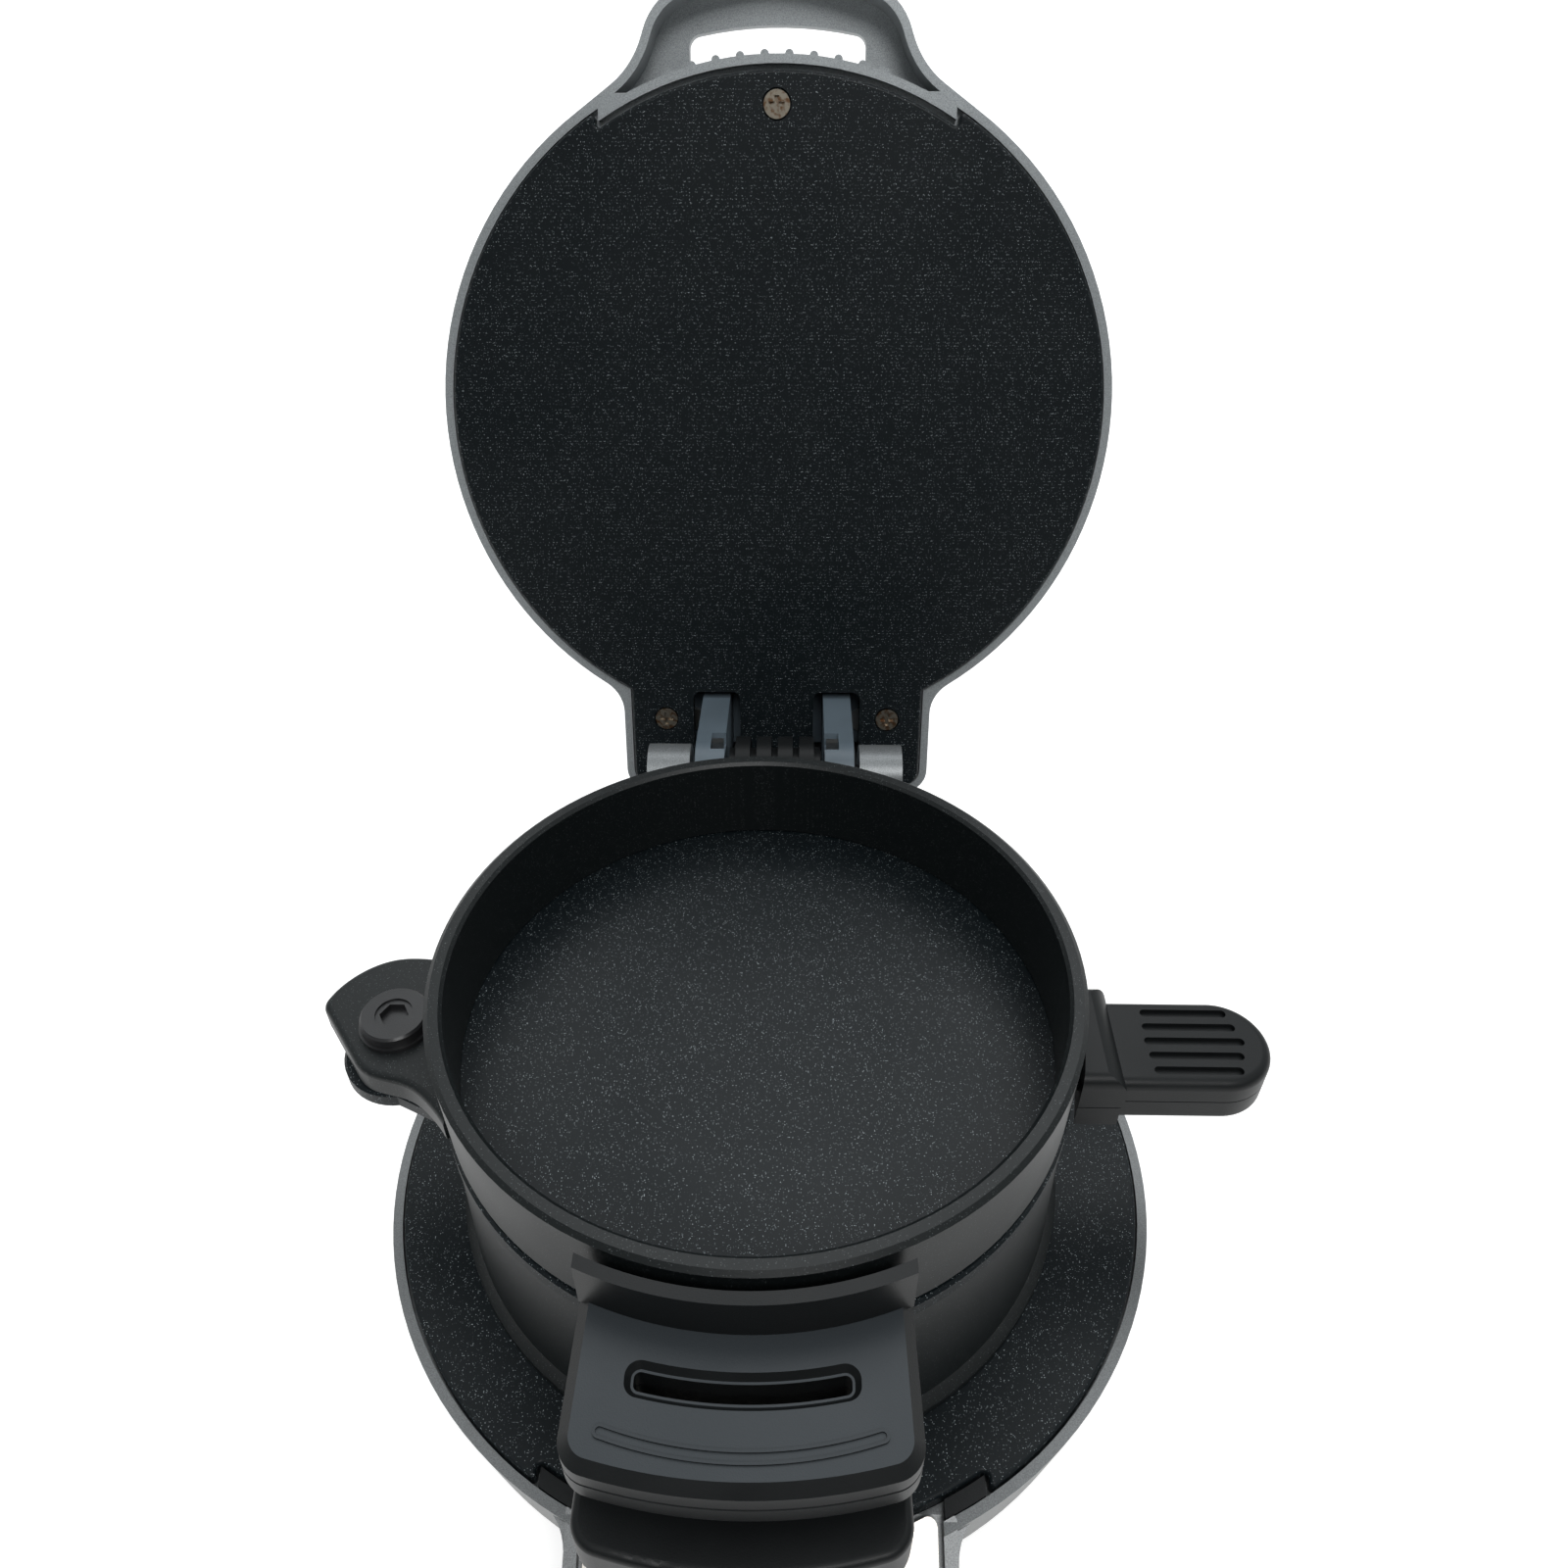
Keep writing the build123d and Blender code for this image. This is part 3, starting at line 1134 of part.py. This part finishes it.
with BuildPart() as upper_heat_shield:
    with BuildSketch(level(upper_shield_z)):
        Circle(shield_r)
        Circle(10, mode=Mode.SUBTRACT)
        with Locations(polar(heater_r, 120), polar(heater_r, 60)):
            Circle(tube_r + 1.5, mode=Mode.SUBTRACT)
    extrude(amount=shield_t)
save(upper_heat_shield, "upper_heat_shield", lid=True)

with BuildPart() as upper_thermostat:
    with BuildSketch(level(lid_plate_z1)):
        Circle(7.5)
    extrude(amount=11.0)
    with BuildSketch(level(lid_plate_z1 + 2.5)):
        Rectangle(22, 5)
    extrude(amount=1.2)
save(upper_thermostat, "upper_thermostat", lid=True)

with BuildPart() as upper_thermal_fuse:
    with BuildSketch(side(18)):
        with Locations((12, lid_plate_z1 + 2.0)):
            Circle(2.0)
    extrude(amount=11)
save(upper_thermal_fuse, "upper_thermal_fuse", lid=True)

# ---- lid arms --------------------------------------------------------------------------------
arm_top = lid_plate_z1 + 14.0
with BuildPart() as lid_hinge_arms:
    for s in (-1, 1):
        with BuildSketch(side(min(s * arm_x0, s * arm_x1))):
            with Locations((hinge_y, hinge_z)):
                Circle(arm_r)
            Polygon((hinge_y - arm_r, hinge_z), (hinge_y + arm_r, hinge_z), (hinge_y + arm_r, arm_top),
                    (hinge_y - arm_r - arm_lean, arm_top), (hinge_y - arm_r - arm_lean, lid_face),
                    align=None)
        extrude(amount=arm_x1 - arm_x0)
    # bridge inside the lid that ties both arms to the cover
    with BuildSketch(level(arm_top - 3)):
        with Locations((0, hinge_y)):
            Rectangle(2 * (arm_x1 + 5.1), 2 * arm_r - 3)
    extrude(amount=4)
    with BuildSketch(side(-barrel_x1)):
        with Locations((hinge_y, hinge_z)):
            Circle(rod_r + run_gap)
    extrude(amount=2 * barrel_x1, mode=Mode.SUBTRACT)
    # notches for the clip ends on the inner faces
    for s in (-1, 1):
        with BuildSketch(level(hinge_z - 3.5)):
            with Locations((s * (arm_x0 + 1.5), hinge_y - arm_r + 1.0)):
                Rectangle(3.4, 3.0)
        extrude(amount=7.0, mode=Mode.SUBTRACT)
    with BuildSketch(level(arm_top - 4)):
        with Locations((-arm_x1 - 3.2, hinge_y), (arm_x1 + 3.2, hinge_y)):
            Circle(screw_r)
        with Locations((0, hinge_y)):
            Circle(4.2)
    extrude(amount=8, mode=Mode.SUBTRACT)
save(lid_hinge_arms, "lid_hinge_arms", lid=True)

with BuildPart() as arm_clips:
    for s in (-1, 1):
        with BuildSketch(level(hinge_z - 1.6)):
            with Locations((s * (arm_x0 + 1.7), hinge_y - arm_r + 1.25)):
                Rectangle(2.6, 2.5)
        extrude(amount=2.6)
save(arm_clips, "arm_clips", lid=True)

with BuildPart() as arm_screws:
    with BuildSketch(level(arm_top - 3)):
        with Locations((-arm_x1 - 3.2, hinge_y), (arm_x1 + 3.2, hinge_y)):
            Circle(2.8)
    extrude(amount=-1.4)
    with BuildSketch(level(arm_top - 3)):
        with Locations((-arm_x1 - 3.2, hinge_y), (arm_x1 + 3.2, hinge_y)):
            Circle(screw_r)
    extrude(amount=8)
save(arm_screws, "arm_screws", lid=True)

with BuildPart() as lid_leads:
    for dx in (-2.6, 0.0, 2.6):
        with BuildSketch(level(lid_plate_z1 + 1.0)):
            with Locations((dx, hinge_y)):
                Circle(1.0)
        extrude(amount=20)
save(lid_leads, "lid_leads", lid=True)
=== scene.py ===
# %% [markdown]
# # A breakfast sandwich maker, dressed for its picture
#
# The machine's shapes and joints come ready made as a fixed frame of named nodes. This lesson
# puts a camera where the photograph was taken from, lights the machine like a soft studio, and
# gives every part its real finish. It adds no shape: every form that shows is in the frame.
# The first cell loads the frame.

# %% Load the frame
import math

import bpy
import numpy as np
from mathutils import Matrix, Vector

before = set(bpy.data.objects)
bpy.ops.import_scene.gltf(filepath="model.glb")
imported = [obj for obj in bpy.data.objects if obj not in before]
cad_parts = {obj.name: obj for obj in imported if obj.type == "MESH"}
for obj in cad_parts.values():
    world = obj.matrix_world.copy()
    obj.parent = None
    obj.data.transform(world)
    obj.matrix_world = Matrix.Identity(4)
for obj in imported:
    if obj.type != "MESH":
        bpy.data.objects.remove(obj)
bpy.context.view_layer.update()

# %% [markdown]
# ## Camera
#
# The photograph looks down at about forty degrees, from a little left of the middle. The lid is
# a circle, and so are the rings and the base: how each one flattens, and how they shrink with
# distance, gives the place, the turns and the focal length of the camera. A small shift puts
# the optical centre where the photograph has it, slightly right of and above the middle.

# %% Camera where the photograph was taken from
IMAGE_SIDE = 1600                                  # pixels
FOCAL_PIXELS = 1250.2
OPTICAL_CENTRE = (785.3, 780.1)                    # pixels from the left and from the top
CAMERA_PLACE = np.array([4.83, -140.0, 241.22]) / 1000
YAW, PITCH, ROLL = 0.028, 0.696, -0.011            # radians; pitch is downwards
TURN = 0.0                                         # fine turn of the view about the origin

scene = bpy.context.scene


def camera_axes(yaw, pitch, roll):
    """Right, up and backward unit vectors of a camera that faces +Y at yaw 0."""
    ahead = np.array([-math.sin(yaw) * math.cos(pitch), math.cos(yaw) * math.cos(pitch), -math.sin(pitch)])
    right = np.array([math.cos(yaw), math.sin(yaw), 0.0])
    up = np.cross(right, ahead)
    turned_right = right * math.cos(roll) + up * math.sin(roll)
    turned_up = up * math.cos(roll) - right * math.sin(roll)
    return turned_right, turned_up, -ahead


spin = np.array([[math.cos(TURN), -math.sin(TURN), 0], [math.sin(TURN), math.cos(TURN), 0], [0, 0, 1]])
right, up, back = [spin @ v for v in camera_axes(YAW, PITCH, ROLL)]
place = spin @ CAMERA_PLACE
lens = bpy.data.cameras.new("photo_camera")
lens.sensor_width = 36
lens.lens = FOCAL_PIXELS / IMAGE_SIDE * 36
lens.shift_x = (IMAGE_SIDE / 2 - OPTICAL_CENTRE[0]) / IMAGE_SIDE
lens.shift_y = (OPTICAL_CENTRE[1] - IMAGE_SIDE / 2) / IMAGE_SIDE
lens.clip_start = 0.01
camera = bpy.data.objects.new("photo_camera", lens)
scene.collection.objects.link(camera)
camera.matrix_world = Matrix(((right[0], up[0], back[0], place[0]), (right[1], up[1], back[1], place[1]),
                              (right[2], up[2], back[2], place[2]), (0, 0, 0, 1)))
scene.camera = camera
print("lens mm:", round(lens.lens, 2), "shift:", round(lens.shift_x, 4), round(lens.shift_y, 4))

# %% [markdown]
# ## Floor and light
#
# A product picture wants a floor that reads as clean white but still carries the object's soft
# shadow. To the camera, and in glossy reflections, the floor also glows a little, so that it
# clips to white where no shadow falls; to the object's diffuse sides it stays an ordinary pale
# floor. The floor tilts nothing: it is one large square at the table's height.

# %% Floor
reach = 3.0                                        # metres from the middle to each edge
floor_mesh = bpy.data.meshes.new("floor")
floor_mesh.from_pydata([(-reach, -reach, 0), (reach, -reach, 0), (reach, reach, 0), (-reach, reach, 0)],
                       [], [(0, 1, 2, 3)])
floor = bpy.data.objects.new("floor", floor_mesh)
scene.collection.objects.link(floor)

floor_paint = bpy.data.materials.new("floor_paint")
floor_paint.use_nodes = True
floor_tree = floor_paint.node_tree
floor_shader = floor_tree.nodes["Principled BSDF"]
floor_shader.inputs["Base Color"].default_value = (0.72, 0.71, 0.70, 1)
floor_shader.inputs["Roughness"].default_value = 0.9
floor_shader.inputs["Specular IOR Level"].default_value = 0.1
floor_shader.inputs["Emission Color"].default_value = (1, 1, 1, 1)
rays = floor_tree.nodes.new("ShaderNodeLightPath")
glow = {}
for ray, strength in (("Is Camera Ray", 0.62), ("Is Glossy Ray", 0.45)):
    glow[ray] = floor_tree.nodes.new("ShaderNodeMath")
    glow[ray].operation = "MULTIPLY"
    glow[ray].inputs[1].default_value = strength
    floor_tree.links.new(rays.outputs[ray], glow[ray].inputs[0])
both_rays = floor_tree.nodes.new("ShaderNodeMath")
both_rays.operation = "ADD"
floor_tree.links.new(glow["Is Camera Ray"].outputs[0], both_rays.inputs[0])
floor_tree.links.new(glow["Is Glossy Ray"].outputs[0], both_rays.inputs[1])
floor_tree.links.new(both_rays.outputs[0], floor_shader.inputs["Emission Strength"])
floor_mesh.materials.append(floor_paint)
print("floor side, metres:", 2 * reach)

# %% [markdown]
# The open lid is a dark mirror that shows what stands behind the camera, and the flat plates
# mirror the ceiling beyond the lid. So the room is dim in front and bright above and behind:
# its brightness follows how far a direction points towards the upper back, read from the dot
# product of the direction with (0, 0.45, 0.9).

# %% Room and lamps
world = bpy.data.worlds.new("soft_room")
scene.world = world
world.use_nodes = True
room = world.node_tree
sky = room.nodes["Background"]
way = room.nodes.new("ShaderNodeTexCoord")
lean = room.nodes.new("ShaderNodeVectorMath")
lean.operation = "DOT_PRODUCT"
lean.inputs[1].default_value = (0.0, 0.45, 0.9)
room.links.new(way.outputs["Generated"], lean.inputs[0])
to_unit = room.nodes.new("ShaderNodeMapRange")
to_unit.inputs["From Min"].default_value = -1.0
to_unit.inputs["From Max"].default_value = 1.0
room.links.new(lean.outputs["Value"], to_unit.inputs["Value"])
shade = room.nodes.new("ShaderNodeValToRGB")
room_tones = [(0.0, 0.10), (0.40, 0.06), (0.50, 0.16), (0.62, 0.42), (0.80, 0.72), (1.0, 0.80)]
while len(shade.color_ramp.elements) < len(room_tones):
    shade.color_ramp.elements.new(0.5)
for element, (position, tone) in zip(shade.color_ramp.elements, room_tones):
    element.position = position
    element.color = (0.94 * tone, 0.985 * tone, tone, 1)
room.links.new(to_unit.outputs["Result"], shade.inputs["Fac"])
room.links.new(shade.outputs["Color"], sky.inputs["Color"])
sky.inputs["Strength"].default_value = 1.0


def lamp(name, place, aim, size, power, colour=(1, 1, 1)):
    """A square area lamp at place that faces aim."""
    light = bpy.data.lights.new(name, "AREA")
    light.size = size
    light.energy = power
    light.color = colour
    holder = bpy.data.objects.new(name, light)
    scene.collection.objects.link(holder)
    holder.location = place
    holder.rotation_euler = (Vector(aim) - Vector(place)).to_track_quat("-Z", "Y").to_euler()
    return holder


lamp("ceiling", (0.1, 0.9, 1.5), (0, 0, 0.05), 1.2, 9, (0.96, 0.98, 1.0))
lamp("over_camera", (0.25, -1.1, 1.5), (0, 0, 0.1), 0.7, 12)
scene.view_settings.view_transform = "Standard"

# %% [markdown]
# ## Finishes
#
# Each finish is built once from a few shader nodes. The non-stick coating is a dark blue-grey
# lacquer with mineral flakes: cells of a Voronoi pattern about a fifth of a millimetre wide,
# of which a few light up. The housing is plastic painted with a fine metallic grey, given in
# three tones that paint light and shade: lighter on the lid, darker on the base and the hinge
# tower. The handles are spark-eroded black plastic, whose fine grain breaks up the light. Light
# is painted in three more places: a lighter top on the upper handle, a painted highlight on the
# outside of the upper ring, and a lighter lit tone on the black hinge arms.

# %% Shader helpers
def finish(name, colour, roughness, metallic=0.0):
    """A new material with one Principled shader; returns it, its tree and its shader."""
    material = bpy.data.materials.new(name)
    material.use_nodes = True
    shader = material.node_tree.nodes["Principled BSDF"]
    shader.inputs["Base Color"].default_value = (*colour, 1)
    shader.inputs["Roughness"].default_value = roughness
    shader.inputs["Metallic"].default_value = metallic
    return material, material.node_tree, shader


def wire(tree, source, target):
    tree.links.new(source, target)


def pattern(tree, kind, scale, **settings):
    """A texture node read on Object coordinates, scale in cells per metre."""
    where = tree.nodes.new("ShaderNodeTexCoord")
    node = tree.nodes.new(kind)
    for key, value in settings.items():
        node.inputs[key].default_value = value
    node.inputs["Scale"].default_value = scale
    wire(tree, where.outputs["Object"], node.inputs["Vector"])
    return node


def ramp(tree, source, stops):
    """A colour ramp fed by source; stops are (position, colour) pairs."""
    node = tree.nodes.new("ShaderNodeValToRGB")
    band = node.color_ramp
    while len(band.elements) < len(stops):
        band.elements.new(0.5)
    for element, (position, colour) in zip(band.elements, stops):
        element.position = position
        element.color = (*colour, 1) if len(colour) == 3 else colour
    wire(tree, source, node.inputs["Fac"])
    return node


def grain(tree, shader, scale, depth, detail=2.0):
    """Fine raised grain: noise as bump, depth in metres."""
    noise = pattern(tree, "ShaderNodeTexNoise", scale, Detail=detail)
    bump = tree.nodes.new("ShaderNodeBump")
    bump.inputs["Strength"].default_value = 1.0
    bump.inputs["Distance"].default_value = depth
    wire(tree, noise.outputs["Fac"], bump.inputs["Height"])
    wire(tree, bump.outputs["Normal"], shader.inputs["Normal"])


def grey(value):
    return (value, value, value)


# %% Coated metal, painted plastic and moulded plastic
def coated(name, colour, fleck, roughness, cell=5000.0, share=0.17, depth=0.00001, specular=0.2, rim_highlight=None):
    """Non-stick coating: dark lacquer with light mineral flecks in a share of small cells.

    An optional (colour, axis x, radius) paints a highlight of that colour on a ring's outside:
    share = window(distance of (x, y) from the ring's axis), one inside a narrow band at radius.
    """
    material, tree, shader = finish(name, colour, roughness)
    shader.inputs["Specular IOR Level"].default_value = specular
    cells = pattern(tree, "ShaderNodeTexVoronoi", cell)
    dot = ramp(tree, cells.outputs["Distance"], [(0.18, grey(1)), (0.42, grey(0))])
    chosen = ramp(tree, cells.outputs["Color"], [(1 - share - 0.1, grey(0)), (1 - share + 0.15, grey(1))])
    both = tree.nodes.new("ShaderNodeMix")
    both.data_type = "RGBA"
    both.blend_type = "MULTIPLY"
    both.inputs["Factor"].default_value = 1.0
    wire(tree, dot.outputs["Color"], both.inputs["A"])
    wire(tree, chosen.outputs["Color"], both.inputs["B"])
    mix = tree.nodes.new("ShaderNodeMix")
    mix.data_type = "RGBA"
    mix.inputs["A"].default_value = (*colour, 1)
    mix.inputs["B"].default_value = (*fleck, 1)
    wire(tree, both.outputs["Result"], mix.inputs["Factor"])
    wire(tree, mix.outputs["Result"], shader.inputs["Base Color"])
    # Painted highlight: a narrow band on the ring's outside is made lighter, standing in for light caught
    # there.
    if rim_highlight:
        lit_colour, axis_x, radius = rim_highlight
        where = tree.nodes.new("ShaderNodeTexCoord")
        flat = tree.nodes.new("ShaderNodeVectorMath")
        flat.operation = "MULTIPLY"
        flat.inputs[1].default_value = (1, 1, 0)
        wire(tree, where.outputs["Object"], flat.inputs[0])
        away = tree.nodes.new("ShaderNodeVectorMath")
        away.operation = "DISTANCE"
        away.inputs[1].default_value = (axis_x, 0, 0)
        wire(tree, flat.outputs["Vector"], away.inputs[0])
        window = ramp(tree, away.outputs["Value"],
                      [(radius - 0.0004, grey(0)), (radius - 0.0001, grey(1)),
                       (radius + 0.0006, grey(1)), (radius + 0.0009, grey(0))])
        blend = tree.nodes.new("ShaderNodeMix")
        blend.data_type = "RGBA"
        wire(tree, window.outputs["Color"], blend.inputs["Factor"])
        wire(tree, mix.outputs["Result"], blend.inputs["A"])
        blend.inputs["B"].default_value = (*lit_colour, 1)
        wire(tree, blend.outputs["Result"], shader.inputs["Base Color"])
    cloud = pattern(tree, "ShaderNodeTexNoise", 30.0, Detail=3.0)
    spread = ramp(tree, cloud.outputs["Fac"], [(0.3, grey(roughness - 0.05)), (0.7, grey(roughness + 0.05))])
    wire(tree, spread.outputs["Color"], shader.inputs["Roughness"])
    grain(tree, shader, cell * 0.7, depth)
    return material


def painted(name, colour, roughness, metallic):
    """Metallic paint: fine flakes that vary the tone, under a thin clear coat."""
    material, tree, shader = finish(name, colour, roughness, metallic)
    flakes = pattern(tree, "ShaderNodeTexNoise", 5200.0, Detail=1.0)
    tone = ramp(tree, flakes.outputs["Fac"],
                [(0.3, tuple(0.75 * c for c in colour)), (0.72, tuple(min(1, 1.35 * c) for c in colour))])
    wire(tree, tone.outputs["Color"], shader.inputs["Base Color"])
    shader.inputs["Coat Weight"].default_value = 0.15
    shader.inputs["Coat Roughness"].default_value = 0.3
    grain(tree, shader, 900.0, 0.000006)
    return material


def moulded(name, colour, roughness, depth=0.00002, scale=4500.0, specular=0.5, lit_top=None):
    """Black plastic with a spark-eroded grain and faint handling marks.

    An optional (colour, low, high) paints a highlight: the faces that look straight up between those
    two heights are painted lighter, in that colour: share = level(normal z) * window(height).
    """
    material, tree, shader = finish(name, colour, roughness)
    shader.inputs["Specular IOR Level"].default_value = specular
    marks = pattern(tree, "ShaderNodeTexNoise", 55.0, Detail=5.0)
    tone = ramp(tree, marks.outputs["Fac"],
                [(0.35, tuple(0.85 * c for c in colour)), (0.75, tuple(1.2 * c for c in colour))])
    wire(tree, tone.outputs["Color"], shader.inputs["Base Color"])
    # Painted highlight: upward faces within a height band are made lighter, standing in for light from above.
    if lit_top:
        lit_colour, low, high = lit_top
        where = tree.nodes.new("ShaderNodeTexCoord")
        facing = tree.nodes.new("ShaderNodeSeparateXYZ")
        wire(tree, where.outputs["Normal"], facing.inputs["Vector"])
        level = ramp(tree, facing.outputs["Z"], [(0.88, grey(0)), (0.98, grey(1))])
        spot = tree.nodes.new("ShaderNodeSeparateXYZ")
        wire(tree, where.outputs["Object"], spot.inputs["Vector"])
        window = ramp(tree, spot.outputs["Z"], [(low - 0.0004, grey(0)), (low, grey(1)),
                                                (high, grey(1)), (high + 0.0004, grey(0))])
        share = tree.nodes.new("ShaderNodeMath")
        share.operation = "MULTIPLY"
        wire(tree, level.outputs["Color"], share.inputs[0])
        wire(tree, window.outputs["Color"], share.inputs[1])
        blend = tree.nodes.new("ShaderNodeMix")
        blend.data_type = "RGBA"
        wire(tree, share.outputs[0], blend.inputs["Factor"])
        wire(tree, tone.outputs["Color"], blend.inputs["A"])
        blend.inputs["B"].default_value = (*lit_colour, 1)
        wire(tree, blend.outputs["Result"], shader.inputs["Base Color"])
    spread = ramp(tree, marks.outputs["Fac"], [(0.3, grey(roughness - 0.06)), (0.75, grey(roughness + 0.07))])
    wire(tree, spread.outputs["Color"], shader.inputs["Roughness"])
    grain(tree, shader, scale, depth)
    return material


def bare_steel(name, colour, roughness, rust=0.0):
    """Plated steel with fine scratches and, on old screws, a little rust."""
    material, tree, shader = finish(name, colour, roughness, 1.0)
    if rust:
        stain = pattern(tree, "ShaderNodeTexNoise", 900.0, Detail=4.0)
        tone = ramp(tree, stain.outputs["Fac"],
                    [(0.5 - 0.2 * rust, colour), (0.62, (0.16, 0.09, 0.05))])
        wire(tree, tone.outputs["Color"], shader.inputs["Base Color"])
    grain(tree, shader, 1500.0, 0.00001)
    return material


looks = {
    "plate": coated("plate_coating", (0.004, 0.0068, 0.0085), (0.80, 0.90, 0.94), 0.40),
    "ring": coated("ring_coating", (0.006, 0.008, 0.0085), (0.20, 0.22, 0.225), 0.42, specular=0.3),
    # The upper ring's coating carries a painted highlight on its outside.
    "top_ring": coated("top_ring_coating", (0.006, 0.008, 0.0085), (0.20, 0.22, 0.225), 0.42,
                       specular=0.3, rim_highlight=((0.105, 0.108, 0.108), -0.0018, 0.056)),
    # Painted light and shade: base, hinge tower and lid share one metallic grey paint; the lid's copy is
    # lighter for the light on it, the base's and the tower's darker for shade.
    "shaded_base_paint": painted("shaded_base_paint", (0.155, 0.161, 0.163), 0.42, 0.45),
    "shaded_tower_paint": painted("shaded_tower_paint", (0.21, 0.222, 0.227), 0.42, 0.45),
    "lit_lid_paint": painted("lit_lid_paint", (0.32, 0.34, 0.35), 0.40, 0.40),
    "black": moulded("black_plastic", (0.007, 0.008, 0.0085), 0.40, specular=0.22),
    # The upper handle's plastic carries a painted highlight on its flat top.
    "lit_top_black": moulded("lit_top_black_plastic", (0.007, 0.008, 0.0085), 0.40, specular=0.22,
                          lit_top=((0.043, 0.050, 0.056), 0.0700, 0.0716)),
    # Painted light: the hinge arms are black plastic, here given a lighter blue-grey that stands in for the
    # light on their top faces.
    "arm": moulded("lit_arm_plastic", (0.100, 0.130, 0.155), 0.40),
    "panel": painted("panel_satin", (0.62, 0.58, 0.53), 0.35, 0.5),
    "rubber": moulded("foot_rubber", (0.016, 0.016, 0.016), 0.75),
    "screw": bare_steel("old_screw", (0.30, 0.27, 0.22), 0.34, rust=0.2),
    "steel": bare_steel("plated_steel", (0.62, 0.62, 0.61), 0.28),
    "dark_screw": moulded("black_oxide", (0.016, 0.016, 0.017), 0.33),
    "heater": bare_steel("heater_steel", (0.25, 0.22, 0.2), 0.4),
    "wire": moulded("wire_sleeve", (0.7, 0.7, 0.66), 0.6),
    "board": moulded("lamp_board", (0.02, 0.13, 0.05), 0.5),
    "red": moulded("red_lens", (0.45, 0.02, 0.015), 0.15, depth=0.000002),
    "green": moulded("green_lens", (0.03, 0.30, 0.06), 0.15, depth=0.000002),
}
print("finishes:", len(looks))

# %% [markdown]
# ## Giving each node its finish
#
# A node keeps its shape and takes a better material in place of the plain one it came with.

# %% Finish of every node
wears = {
    "plate": ["lower_heating_plate", "upper_heating_plate", "cooking_plate"],
    "ring": ["bottom_ring"],
    "top_ring": ["top_ring"],
    "shaded_base_paint": ["base_housing"],
    "shaded_tower_paint": ["hinge_tower"],
    "lit_lid_paint": ["lid_cover"],
    "black": ["bottom_cover", "cable_guard", "top_handle_base", "bottom_ring_handle", "notch_fillers",
              "plate_handle_upper", "plate_handle_lower", "terminal_block"],
    "lit_top_black": ["top_ring_handle"],
    "arm": ["lid_hinge_arms"],
    "panel": ["front_panel"],
    "rubber": ["rubber_feet", "rear_feet", "cord_bushing"],
    "screw": ["lower_plate_screws", "upper_plate_screws"],
    "steel": ["bottom_screws", "tower_screws", "arm_screws", "plate_handle_screws", "bottom_handle_screws",
              "top_handle_screws", "arm_clips",
              "lower_heat_shield", "upper_heat_shield", "lower_thermostat", "upper_thermostat",
              "thermal_fuse", "upper_thermal_fuse"],
    "dark_screw": ["pivot_screw", "pivot_washer", "pivot_nut", "rod_clips", "lid_hinge_rod",
                   "ring_hinge_rod"],
    "heater": ["lower_heating_element", "upper_heating_element"],
    "wire": ["base_leads", "lid_leads"],
    "board": ["lamp_board"],
    "red": ["power_light_lens"],
    "green": ["ready_light_lens", "indicator_lamps"],
}
for look, nodes in wears.items():
    for node in nodes:
        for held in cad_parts[node].material_slots:
            held.material = looks[look]
bare = sorted(set(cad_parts) - {n for nodes in wears.values() for n in nodes})
print("nodes without a finish:", bare)
